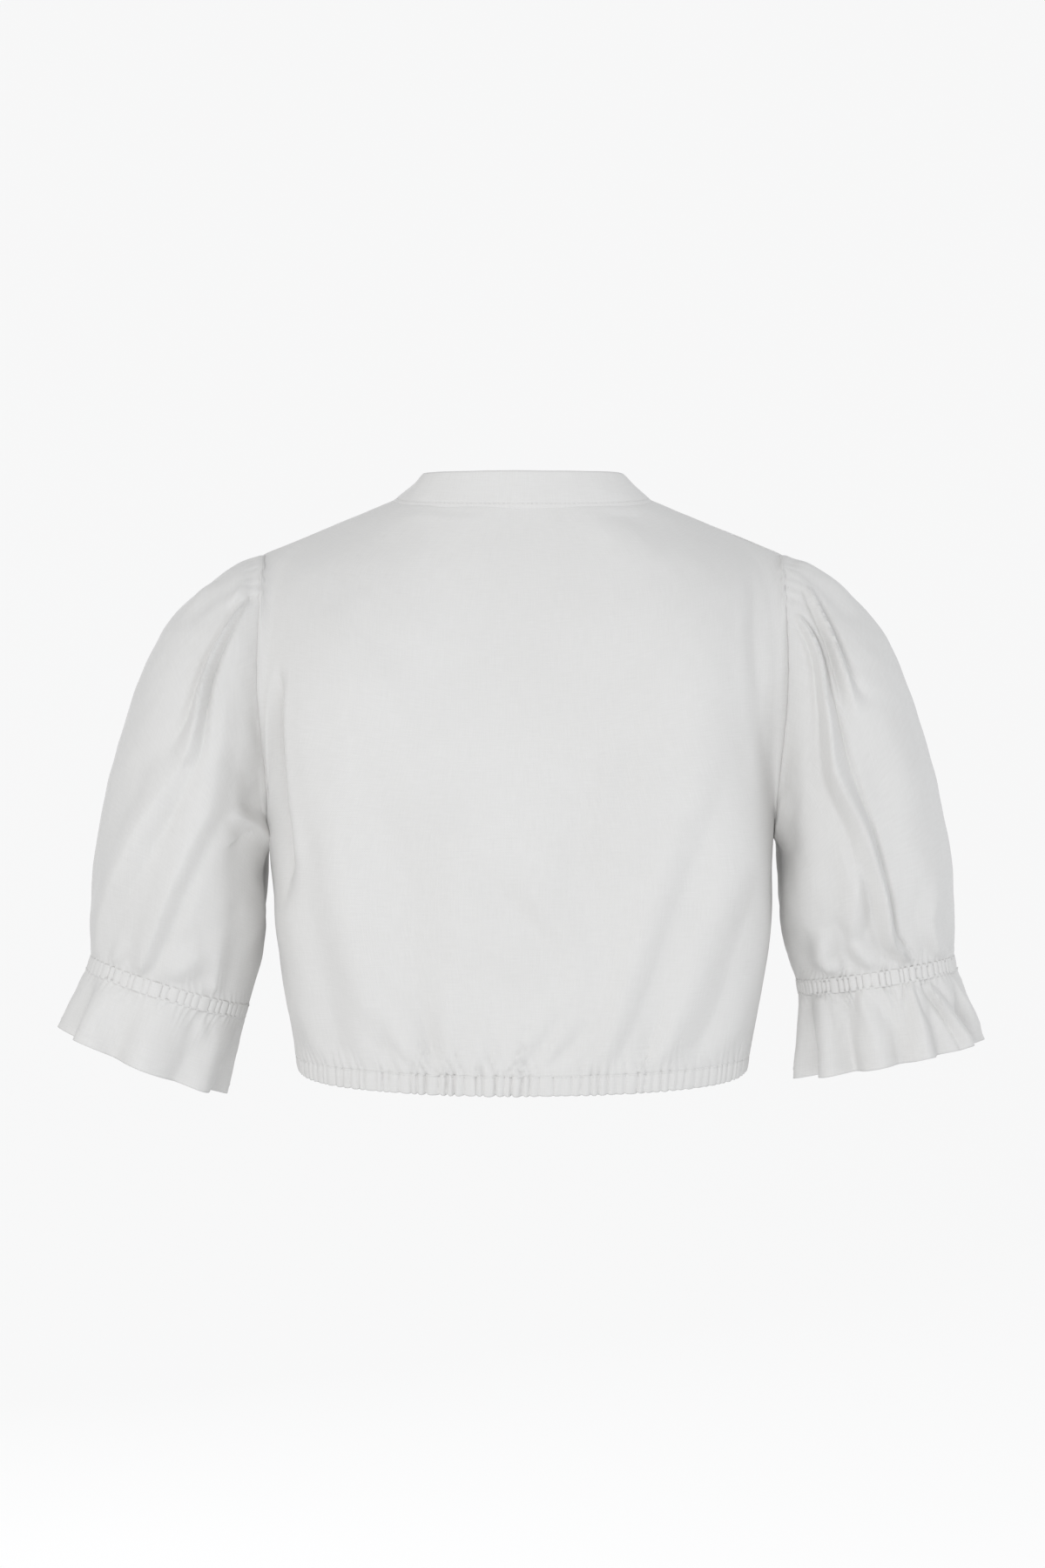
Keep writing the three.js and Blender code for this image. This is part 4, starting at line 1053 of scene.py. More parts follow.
@dataclass
class Bodice:
    """The back, the two fronts that meet at the centre front, and the button placket over their edges.

    A station runs up a side: 0 to 1 on the side seam, to 2 on the armhole, to 3 on the shoulder seam. The
    grids give rows, columns and how much closer the rows lie towards the hem. The fades are the distances
    over which folds, ribs and crumple die out before a seam and before the hem.
    """

    neck_point: Vector = (84.0, 8.0, 0.0)
    shoulder_tip: Vector = (170.0, 0.0, -35.0)
    underarm: Vector = (163.5, 0.0, -219.0)
    side_hem: Vector = (148.0, 0.0, -362.0)
    side_blousing: float = 3.5
    armhole_half_depth: float = 54.5
    neckline_point: tuple[float, float] = (-117.0, -150.0)
    neckline_curve: float = 1.7
    back_grid: tuple[int, int, float] = (138, 322, 1.12)
    front_grid: tuple[int, int, float] = (116, 140, 1.08)
    seam_groove: float = 0.35
    seam_groove_width: float = 1.3
    groove_fade: float = 20.0
    fold_fade: float = 7.0
    hem_fade: float = 15.0
    rib_fade: float = 5.0
    crumple_fade: float = 8.0
    corner_fade: float = 16.0
    pucker_heights: tuple[float, float] = (-205.0, -45.0)
    shoulder_fade: float = 0.14
    neckline_fade: float = 0.2
    tip_fade: float = 0.06
    placket_fade: float = 8.0
    placket_rounding: float = 12.0
    back_corners: tuple[tuple[float, float], ...] = ((1.0, 0.3), (2.05, 0.4))
    front_corner: tuple[float, float] = (1.0, 0.25)
    back_passes: int = 260
    front_passes: int = 200
    armhole_start: tuple[float, float] = (0.95, 0.12)
    armhole_end: tuple[float, float] = (2.15, 0.2)
    back_puckers: tuple = (15, 2.6, 0.6, (4.0, 12.0), 0.25)
    front_puckers: tuple = (14, 3.0, 0.7, (5.0, 15.0), 0.25)
    stitch_inset: float = 2.0
    placket_half_width: float = 11.0
    placket_out: float = 1.5
    placket_stitch: float = 2.2
    placket_roll: tuple[float, float] = (0.5, 0.8)
    placket_dent: tuple[float, float] = (0.22, 0.7)
    cloth: float = 0.55
    hem_ribs: Ribs = Ribs(132, 2.5, 5.4, 0.3, 11.0, 30.0, 61, (
        (0.0, 0.8), (0.2, 0.7), (0.28, 0.5), (0.34, 0.65), (0.4, 0.9), (0.43, 1.25), (0.52, 1.3),
        (0.55, 0.9), (0.62, 0.7), (0.7, 0.65), (0.76, 0.5), (0.84, 0.7), (1.0, 0.8)))
    back_rows: Sections = field(default_factory=lambda: Sections(
        "y z heading rise full",
        (0.0, 93, -368, 90, 0.0, 0.66),
        (0.35, 99, -318, 90, 0.0, 0.75),
        (1.0, 102.5, -224, 90, 0.0, 0.83),
        (1.25, 102.5, -188, 68, 0.02, 0.7),
        (1.5, 100, -146, 48, 0.02, 0.61),
        (1.75, 94, -102, 50, -0.1, 0.58),
        (2.0, 83, -62, 64, -0.3, 0.56),
        (2.5, 72, -34, 74, -0.34, 0.58),
        (3.0, 62, -9, 86, -0.2, 0.6),
    ))
    front_rows: Sections = field(default_factory=lambda: Sections(
        "inner heading rise turn inner_rise full",
        (0.0, 0.0, 90, 0.0, 0.0, 0.0, 0.62),
        (0.5, 0.33, 90, 0.0, 0.0, 0.0, 0.64),
        (1.0, 0.65, 88, 0.0, 0.0, 0.0, 0.67),
        (1.2, 0.84, 70, 0.0, 0.0, 0.0, 0.64),
        (1.4, 1.0, 52, 0.0, 0.0, 0.0, 0.6),
        (1.6, 1.35, 36, 0.03, 4.0, 0.02, 0.6),
        (1.8, 1.72, 20, 0.15, 8.0, -0.12, 0.6),
        (2.0, 2.0, -5.3, 0.405, -5.3, -0.405, 0.6),
    ))
    centre_front: Sections = field(default_factory=lambda: Sections(
        "y z",
        (0.0, -98, -367),
        (0.25, -113, -316),
        (0.5, -125, -264),
        (0.65, -128, -232),
        (0.85, -124, -186),
        (1.0, -117, -150),
    ))

    def edge(self, at: Array, facing: float) -> Array:
        """Follows the outer edge of half a bodice from the hem up.

        The side seam is straight but for a little blousing, the armhole is half an ellipse in a leaning
        plane, and the shoulder seam is straight.

        Args:
            at: the stations.
            facing: 1 on the back, -1 on a front.

        Returns:
            A point for each station.
        """
        corners = self.side_hem, self.underarm, self.shoulder_tip, self.neck_point
        hem, arm, tip, neck = (np.array(corner) for corner in corners)
        low = np.clip(at, 0.0, 1.0)[..., None]
        seam = mix(hem, arm, low) + np.array([self.side_blousing, 0.0, 0.0]) * np.sin(np.pi * low)
        angle = np.radians(-90.0 + 180.0 * np.clip(at - 1.0, 0.0, 1.0))
        rise = (1.0 + np.sin(angle)) / 2.0
        across = facing * self.armhole_half_depth * np.cos(angle)
        armhole = stack(mix(arm[0], tip[0], rise), across, mix(arm[2], tip[2], rise))
        shoulder = mix(tip, neck, np.clip(at - 2.0, 0.0, 1.0)[..., None])
        over = np.asarray(at)[..., None]
        return np.where(over <= 1.0, seam, np.where(over <= 2.0, armhole, shoulder))

    def front_inner(self, at: Array) -> Array:
        """Follows the inner edge of a front: 0 to 1 up the centre front, 1 to 2 along the neckline."""
        centre = self.centre_front.read(np.clip(at, 0.0, 1.0))
        share = np.clip(at - 1.0, 0.0, 1.0)
        neck = self.neck_point
        line = stack(
            neck[0] * share,
            mix(self.neckline_point[0], neck[1], share**self.neckline_curve),
            mix(self.neckline_point[1], neck[2], share))
        below = stack(np.zeros(np.shape(at)), centre["y"], centre["z"])
        return np.where(np.asarray(at)[..., None] <= 1.0, below, line)

    def section(
        self, centre: Array, centre_way: Array, edge: Array, edge_way: Array, full: Array, share: Array,
    ) -> Array:
        """Runs a cubic from a centre point to an edge point, leaving each in the way that is given.

        Each handle's length is full times the part of the gap that lies along it, added up over x and y.

        Args:
            centre: where the share is 0.
            centre_way: the way that it leaves.
            edge: where the share is 1.
            edge_way: the way in from there.
            full: how far the handles reach.
            share: how far along each point lies.

        Returns:
            The points.
        """
        gap = np.abs(edge - centre)

        def handle(way: Array) -> Array:
            """Scales a way to its handle."""
            length = np.linalg.norm(way, axis=-1)
            across = (gap * np.abs(way))[..., :2].sum(axis=-1)
            return way * (full * across / length**2)[..., None]

        s, t = share[..., None], 1 - share[..., None]
        first, second = centre + handle(centre_way), edge + handle(edge_way)
        return t**3 * centre + 3 * t**2 * s * first + 3 * t * s**2 * second + s**3 * edge

    def back(self, row: Array, column: Array) -> Array:
        """Gives points of the back: the column runs from -1 at the right edge to 1 at the left one."""
        row, column = spread(row, column)
        read = self.back_rows.read(row)
        heading = np.radians(read["heading"])
        centre = stack(np.zeros(row.shape), read["y"], read["z"])
        level = np.broadcast_to([1.0, 0.0, 0.0], centre.shape)
        inward = stack(-np.cos(heading), np.sin(heading), read["rise"])
        points = self.section(centre, level, self.edge(row, 1.0), inward, read["full"], np.abs(column))
        points[..., 0] *= side_of(column)
        return points

    def front(self, side: Side, row: Array, column: Array) -> Array:
        """Gives points of a front: the column runs from 0 at its inner edge to 1 at its outer one."""
        row, column = spread(row, column)
        read = self.front_rows.read(row)
        heading, turn = np.radians(read["heading"]), np.radians(read["turn"])
        outward = stack(np.cos(turn), np.sin(turn), read["inner_rise"])
        inward = stack(-np.cos(heading), -np.sin(heading), read["rise"])
        inner = self.front_inner(read["inner"])
        points = self.section(inner, outward, self.edge(row, -1.0), inward, read["full"], column)
        points[..., 0] *= side.value
        return points

    def groove(self, distance: Array) -> Array:
        """Sinks the cloth where a seam pulls it in."""
        return -self.seam_groove * bell(distance, self.seam_groove_width)

    def hem_lengths(self) -> tuple[float, float]:
        """Measures the hem's line, along half of the fronts and along half of the back."""
        share = np.linspace(0.0, 1.0, 400)
        row = np.zeros(share.shape)
        return float(walk(self.front(Side.LEFT, row, share))[-1]), float(walk(self.back(row, share))[-1])

    def back_cloth(self) -> Cloth:
        """Lays out the back with its folds, its gathers above the casing and its seams."""
        count, across, crowding = self.back_grid
        rows = 3.0 * np.linspace(0.0, 1.0, count)[:, None] ** crowding
        columns = np.linspace(-1.0, 1.0, across)[None]
        points = self.back(rows, columns)
        before, behind = self.hem_lengths()
        turn = (before + 2.0 * behind - walk(points[0])) / (2.0 * (before + behind))
        height = points[..., 2] - points[0, :, 2]
        edge = np.broadcast_to(self.edge(rows, 1.0), points.shape).copy()
        edge[..., 0] *= np.sign(columns)
        gap = np.linalg.norm(points - edge, axis=-1)
        corners = sum(bell(rows - row, width) for row, width in self.back_corners)
        points = relax(points, corners * smooth(gap / self.corner_fade), self.back_passes)
        lift = fold_height(BACK_CREASES, points[..., 0], points[..., 2]) * smooth(gap / self.fold_fade)
        lift *= smooth((3.0 - rows) / self.shoulder_fade) * smooth(height / self.hem_fade)
        calm = smooth(gap / self.crumple_fade) * smooth(height / self.crumple_fade)
        lift += Crumple(0.34, 16.0, 70.0, 31).lift(points) * calm
        lift += self.hem_ribs.lift(turn[None], height) * smooth(gap / self.rib_fade)
        start, end = self.armhole_start, self.armhole_end
        arm = smooth((rows - start[0]) / start[1]) * smooth((end[0] - rows) / end[1])
        for side, seed in ((1.0, 21), (-1.0, 22)):
            beyond = np.where(np.sign(columns) == side, gap, FAR_AWAY)
            pucker = Gathers(*self.pucker_heights, *self.back_puckers, seed)
            lift += pucker.lift(points[..., 2], beyond) * arm
        lift += self.groove(gap) * smooth(height / self.groove_fade)
        points[..., 0] += np.sign(columns) * SEAM.stray(points[..., 2], gap) * arm
        return Cloth("back", points, False, -1.0, self.cloth, lift, (Edge.FIRST_ROW, Edge.LAST_ROW))

    def front_cloth(self, side: Side) -> Cloth:
        """Lays out a front with its folds, its gathers above the casing and its seams."""
        count, across, crowding = self.front_grid
        rows = 2.0 * np.linspace(0.0, 1.0, count)[:, None] ** crowding
        points = self.front(side, rows, np.linspace(0.0, 1.0, across)[None])
        turn = side.value * walk(points[0]) / (2.0 * sum(self.hem_lengths()))
        height = points[..., 2] - points[0, :, 2]
        outer_gap = np.linalg.norm(points - points[:, -1:], axis=-1)
        inner_gap = np.linalg.norm(points - points[:, :1], axis=-1)
        beside = inner_gap - self.placket_half_width
        still = smooth(beside / self.placket_fade)
        corner, width = self.front_corner
        rounded = bell(rows - corner, width) * smooth(outer_gap / self.corner_fade)
        points = relax(points, rounded * smooth(beside / self.placket_rounding), self.front_passes)
        lift = fold_height(FRONT_CREASES[side], side.value * points[..., 0], points[..., 2])
        lift *= smooth(outer_gap / self.fold_fade) * still * smooth((2.0 - rows) / self.neckline_fade)
        lift *= smooth(height / self.hem_fade)
        drawn = smooth(outer_gap / self.rib_fade) * mix(0.25, 1.0, still)
        lift += self.hem_ribs.lift(turn[None], height) * drawn
        arm = smooth((rows - self.armhole_start[0]) / self.armhole_start[1])
        pucker = Gathers(*self.pucker_heights, *self.front_puckers, 23 + side.value)
        lift += pucker.lift(points[..., 2], outer_gap) * arm
        lift += self.groove(outer_gap) * smooth(height / self.groove_fade)
        calm = still * smooth(outer_gap / self.crumple_fade) * smooth(height / self.crumple_fade)
        lift += Crumple(0.3, 16.0, 70.0, 33 + side.value).lift(points) * calm
        arm = arm * smooth((2.0 - rows) / self.tip_fade)
        points[..., 0] += side.value * SEAM.stray(points[..., 2], outer_gap) * arm
        name = f"front_{side.name.lower()}"
        return Cloth(name, points, False, side.value, self.cloth, lift, (Edge.FIRST_ROW, Edge.LAST_COLUMN))

    def placket_points(self, rows: Array, offsets: Array, out: float) -> Array:
        """Gives points over the centre front, some way to its left or right and some way out of the fronts.

        Args:
            rows: stations up the fronts.
            offsets: how far to the wearer's left each point lies.
            out: how far out of the fronts.

        Returns:
            The points.
        """
        rows, offsets = spread(rows, offsets)
        full = self.front_rows.read(rows)["full"]
        share = np.abs(offsets) / (3.0 * full * self.edge(rows, -1.0)[..., 0])
        points = self.front(Side.LEFT, rows, share)
        points[..., 0] *= side_of(offsets)
        return points + outward_of(points, False, 1.0) * out

    def neckline_row(self) -> float:
        """Finds the front's row that ends at the point of the neckline."""
        return float(self.front_rows.stations[4])

    def placket_cloth(self) -> Cloth:
        """Lays the placket on the fronts, a little rounded at its two folded edges."""
        rows = np.linspace(0.0, self.neckline_row() - 0.01, 150)[:, None]
        offsets = np.linspace(-self.placket_half_width, self.placket_half_width, 33)[None]
        points = self.placket_points(rows, offsets, self.placket_out)
        edge = self.placket_half_width - np.abs(offsets)
        roll, dent = self.placket_roll, self.placket_dent
        lift = -roll[0] * np.exp(-edge / roll[1]) - dent[0] * bell(edge - self.placket_stitch, dent[1])
        return Cloth("placket", points, False, 1.0, 0.9, lift + Crumple(0.12, 10.0, 40.0, 41).lift(points))

    def placket_seams(self, sewing: Sewing) -> None:
        """Stitches the placket down along both edges."""
        rows = np.linspace(0.02, self.neckline_row() - 0.03, 240)[:, None]
        for side in (-1.0, 1.0):
            middle = side * (self.placket_half_width - self.placket_stitch)
            points = self.placket_points(rows, np.array([[-0.5, 0.0, 0.5]]) + middle, self.placket_out)
            sewing.row(points[:, 1], outward_of(points, False, 1.0)[:, 1])

    def armhole_seams(self, sewing: Sewing) -> None:
        """Stitches the seam allowances down on the bodice, beside both armholes."""
        rows = np.linspace(1.02, 1.98, 240)[:, None]
        for side in Side:
            columns = np.linspace(1.0, 0.94, 16)[None]
            for points in (self.back(rows, side.value * columns), self.front(side, rows, columns)):
                sewing.row(*self.inset_line(points, -side.value))

    def inset_line(self, points: Array, sign: float) -> tuple[Array, Array]:
        """Finds the line that lies the stitches' inset away from the first column, and the way out there."""
        walked = walk(points, axis=1)
        out = outward_of(points, False, sign)
        if out[len(out) // 2, 0, 0] * points[len(out) // 2, 0, 0] < 0:
            out = -out
        pick = np.argmin(np.abs(walked - self.stitch_inset), axis=1)
        index = np.arange(len(points))
        lower = np.maximum(pick - 1, 0)
        span = np.maximum(walked[index, pick] - walked[index, lower], 1e-6)
        share = np.clip((self.stitch_inset - walked[index, lower]) / span, 0.0, 1.5)[:, None]
        line = mix(points[index, lower], points[index, pick], share)
        return line + out[index, pick] * 0.1, out[index, pick]


@dataclass
class NeckBand:
    """The band that stands round the back of the neck and lies down both sides of the neckline.

    meeting is how far its two ends stay from the middle at the bottom, and opening how much more higher up.
    """

    bodice: Bodice
    thickness: float = 1.0
    columns: int = 320
    stitch_height: float = 2.4
    meeting: float = 0.12
    opening: float = 0.4
    droop: float = 0.16
    roll: tuple[float, float] = (0.25, 1.0)
    dent: tuple[float, float] = (0.12, 0.8)
    lean: Sections = field(default_factory=lambda: Sections(
        "x y z height",
        (0.0, 0.0, -0.12, 0.99, 24),
        (0.6, -0.34, -0.2, 0.9, 24),
        (1.0, -0.76, -0.06, 0.65, 23),
        (1.3, -0.86, 0.1, 0.5, 19),
        (1.6, -0.87, 0.12, 0.48, 14),
        (1.86, -0.872, 0.06, 0.489, 12),
        (2.0, -0.872, 0.03, 0.489, 12),
    ))

    def points(self, height: Array, at: Array) -> Array:
        """Gives points of the band.

        Args:
            height: 0 at its seam and 1 at its folded edge.
            at: from -2 at the wearer's right end of the band, by 0 at the centre back, to 2 at its left
            end.

        Returns:
            The points.
        """
        height, at = spread(height, at)
        reach = np.abs(at)
        lean = self.lean.read(reach)
        behind = self.bodice.back(np.full(at.shape, 3.0), np.minimum(reach, 1.0))
        before = self.bodice.front_inner(3.0 - np.maximum(reach, 1.0))
        base = np.where(reach[..., None] <= 1.0, behind, before)
        way = unit(stack(lean["x"], lean["y"], lean["z"]))
        points = base + way * mix(JOINT_GAP, lean["height"], height)[..., None]
        over = np.maximum(self.meeting + self.opening * (2.0 - reach) * height - points[..., 0], 0.0)
        points[..., 0] += over
        points[..., 2] -= self.droop * over * height
        points[..., 0] *= side_of(at)
        return points

    def cloth(self) -> Cloth:
        """Lays out the band, rolled a little at its folded edge and drawn in along its seam."""
        height = np.linspace(0.0, 1.0, 22)[:, None]
        stations = np.linspace(-2.0, 2.0, self.columns)[None]
        points = self.points(height, stations)
        tall = self.lean.read(np.abs(stations))["height"]
        from_seam, from_edge = height * tall, (1.0 - height) * tall
        lift = -self.roll[0] * bell(from_edge, self.roll[1])
        lift = lift - self.dent[0] * bell(from_seam - self.stitch_height, self.dent[1])
        lift = lift + Crumple(0.35, 12.0, 60.0, 51).lift(points) * smooth(from_seam / 8.0)
        return Cloth("neck_band_cloth", points, False, -1.0, self.thickness, lift, (Edge.FIRST_ROW,))

    def seams(self, sewing: Sewing) -> None:
        """Stitches the band along its seam."""
        stations = np.linspace(-1.97, 1.97, 700)[None]
        tall = self.lean.read(np.abs(stations))["height"]
        points = self.points((self.stitch_height + np.array([[-0.5], [0.0], [0.5]])) / tall, stations)
        out = outward_of(points, False, -1.0)
        sewing.row(points[1] + out[1] * 0.15, out[1])


@dataclass
class HemCasing:
    """The casing round the hem, drawn up by the elastic in it.

    It is shorter by side_rise at both sides, over side_reach to the back and the front, and its lower edge
    lies further in by tuck.
    """

    bodice: Bodice
    height: float = 13.0
    side_rise: float = 4.5
    side_reach: float = 38.0
    tuck: float = 1.5
    roll: float = 0.3
    edge_share: float = 0.55
    columns_per_rib: int = 8
    seam_share: float = 0.9
    thickness: float = 0.8

    def section(self) -> Array:
        """Joins the lower edges of the fronts and the back into one closed line."""
        share = np.linspace(0.0, 1.0, 160)
        left = self.bodice.front(Side.LEFT, np.zeros(160), share)
        behind = self.bodice.back(np.zeros(160), 1.0 - share)[1:]
        half = np.concatenate([left, behind])
        other = (half[1:-1] * np.array([-1.0, 1.0, 1.0]))[::-1]
        return np.concatenate([half, other, half[:1]])

    def points(self, height: Array, around: Array) -> tuple[Array, Array]:
        """Gives points of the casing before its gathers.

        Args:
            height: 0 at its lower edge, 1 at its seam.
            around: how far round, from 0 to 1.

        Returns:
            The points, and the level way out at each.
        """
        line = self.section()
        walked = walk(line)
        at = (around % 1.0) * walked[-1]
        points = follow(line, walked, at)
        ahead, astern = (follow(line, walked, (at + step) % walked[-1]) for step in (2.0, -2.0))
        tangent = ahead - astern
        out = unit(stack(tangent[..., 1], -tangent[..., 0], np.zeros(at.shape)))
        points = points - out * (self.tuck * (1.0 - height))[..., None]
        beside = bell(points[..., 1], self.side_reach)
        points[..., 2] -= mix(self.height - self.side_rise * beside, JOINT_GAP, height)
        return points, out

    def swell(self, height: Array, around: Array) -> Array:
        """Works out how far it is pushed out: the bodice's own ribs, and a low roll below the seam."""
        ribs = self.bodice.hem_ribs.lift(around, (1.0 - height) * 2.0)
        return ribs + self.roll * np.sin(np.pi * np.clip(height / self.seam_share, 0.0, 1.0))

    def cloth(self) -> Cloth:
        """Lays out the ribbed casing, whose lower edge rises and falls a little with its ribs."""
        count = self.bodice.hem_ribs.count * self.columns_per_rib
        height, around = spread(np.linspace(0.0, 1.0, 14)[:, None], (np.arange(count) / count)[None])
        points, out = self.points(height, around)
        ribs = self.bodice.hem_ribs.lift(around, np.zeros(around.shape))
        points = points + out * self.swell(height, around)[..., None]
        points[..., 2] -= self.edge_share * ribs * (1.0 - height)
        return Cloth("hem_casing_cloth", points, True, 1.0, self.thickness)

    def seams(self, sewing: Sewing) -> None:
        """Stitches the casing along its seam."""
        around = np.linspace(0.0, 0.9999, 2400)
        height = np.full(around.shape, self.seam_share)
        points, out = self.points(height, around)
        sewing.row(points + out * (self.swell(height, around) + 0.1)[:, None], out)

@dataclass
class Buttons:
    """Five buttons down the placket, each on its buttonhole and held by crossed threads.

    Each has a rounded rim, a dish in the middle and four holes. top is the height of the first one, and
    step the distance to the next. The buttonhole is a slot in half width and half length.
    """

    bodice: Bodice
    radius: float = 5.5
    thickness: float = 2.4
    top: float = -168.0
    step: float = 44.5
    count: int = 5
    rim_width: float = 0.5
    dish: float = 0.65
    dish_radius: float = 3.4
    hole_radius: float = 0.75
    hole_edge: float = 0.3
    hole_depth: float = 1.2
    hole_off: float = 1.35
    underside: tuple[Vector, Vector] = ((5.4, 4.8, 0.02), (0.5, 0.0, 0.0))
    raised: float = 0.35
    slot: tuple[float, float] = (1.0, 6.9)
    slot_depth: float = 0.15
    thread_rise: float = 0.42
    thread_fall: float = 0.72
    rings: int = 30
    spokes: int = 48

    def relief(self, radius: Array, angle: Array) -> Array:
        """Works out the height of a button's face: a rounded rim, a dished middle and four holes.

        Args:
            radius: the distance from the button's middle.
            angle: the turn about it.

        Returns:
            The height over the button's underside.
        """
        height = self.thickness - bell(radius - self.radius, self.rim_width)
        height = height - self.dish * (1.0 - smooth(radius - self.dish_radius))
        for turn in np.pi / 4 + full_turn(4):
            x = radius * np.cos(angle) - self.hole_off * np.cos(turn)
            y = radius * np.sin(angle) - self.hole_off * np.sin(turn)
            inside = self.hole_radius - np.hypot(x, y)
            height = height - self.hole_depth * smooth(inside / self.hole_edge)
        return height

    def body(self) -> tuple[Array, Array]:
        """Works out one button: its face on a polar grid, its side and its underside.

        Returns:
            The vertices, its face towards +Z, and its faces.
        """
        radius = np.linspace(0.02, self.radius, self.rings)[:, None]
        angle = full_turn(self.spokes)[None]
        face = stack(radius * np.cos(angle), radius * np.sin(angle), self.relief(radius, angle))
        low_radius, low_height = np.array(self.underside)[..., None]
        under = stack(low_radius * np.cos(angle), low_radius * np.sin(angle), low_height)
        grid = np.concatenate([face, under])
        centres = np.array([[0.0, 0.0, self.thickness - self.dish], [0.0, 0.0, 0.0]])
        vertices = np.concatenate([grid.reshape(-1, 3), centres])
        turn = np.arange(self.spokes)
        after = (turn + 1) % self.spokes
        size = grid.shape[0] * self.spokes
        last = size - self.spokes
        top = np.stack([np.full_like(turn, size), turn, after, after], axis=1)
        bottom = np.stack([np.full_like(turn, size + 1), last + after, last + turn, last + turn], axis=1)
        return vertices, np.concatenate([quads(len(grid), self.spokes)[:, FLIPPED], top, bottom])

    def place(self, index: int) -> tuple[Array, Array]:
        """Finds where a button sits: the middle of its underside, and the three ways that it is turned.

        Args:
            index: which button, counted from the top.

        Returns:
            The place, and a matrix whose rows are the button's own x, y and z.
        """
        rows = np.linspace(0.0, self.bodice.neckline_row(), 1200)[:, None]
        points = self.bodice.placket_points(rows, np.array([[-0.5, 0.0, 0.5]]), self.bodice.placket_out)
        row = int(np.argmin(np.abs(points[:, 1, 2] - (self.top - index * self.step))))
        out = outward_of(points, False, 1.0)[row, 1]
        out = unit(np.array([0.0, out[1], out[2]]))
        across = np.array([1.0, 0.0, 0.0])
        return points[row, 1] + out * self.raised, np.stack([across, np.cross(out, across), out])

    def threads(self, sewing: Sewing, base: Array, turned: Array) -> None:
        """Crosses two stitches over a button's holes."""
        reach = self.hole_off * np.cos(np.pi / 4)
        share = np.linspace(-1.0, 1.0, 9)
        height = self.thickness - self.dish + self.thread_rise - self.thread_fall * share**4
        for lean in (1.0, -1.0):
            local = stack(share * reach, lean * share * reach, height)
            sewing.row(base + local @ turned, np.broadcast_to(turned[2], local.shape))

    def buttonhole(self, sewing: Sewing, base: Array, turned: Array) -> None:
        """Works a buttonhole under a button: close stitches round an upright slit."""
        turns = np.linspace(0.0, 2.0 * np.pi, 60)
        local = stack(self.slot[0] * np.cos(turns), self.slot[1] * np.sin(turns), -self.slot_depth)
        sewing.row(base + local @ turned, np.broadcast_to(turned[2], local.shape))

    def build(self, resin: bpy.types.Material, thread: bpy.types.Material) -> list[bpy.types.Object]:
        """Makes the buttons, with one piece for the threads that hold them and one for the buttonholes.

        Args:
            resin: the buttons' finish.
            thread: the threads' finish.

        Returns:
            The buttons, then the two thread pieces.
        """
        vertices, faces = self.body()
        held = Sewing("button_threads", length=2.5, gap=0.0, radius=0.26, sides=6)
        holes = Sewing("buttonholes", length=0.9, gap=0.1, radius=0.3, sides=5)
        made = []
        for index in range(self.count):
            base, turned = self.place(index)
            button = new_object(f"button_{index + 1}_resin", base + vertices @ turned, faces, resin)
            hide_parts(f"button_{index + 1}")
            made.append(button)
            self.threads(held, base, turned)
            self.buttonhole(holes, base, turned)
        return [*made, held.build(thread), holes.build(thread)]


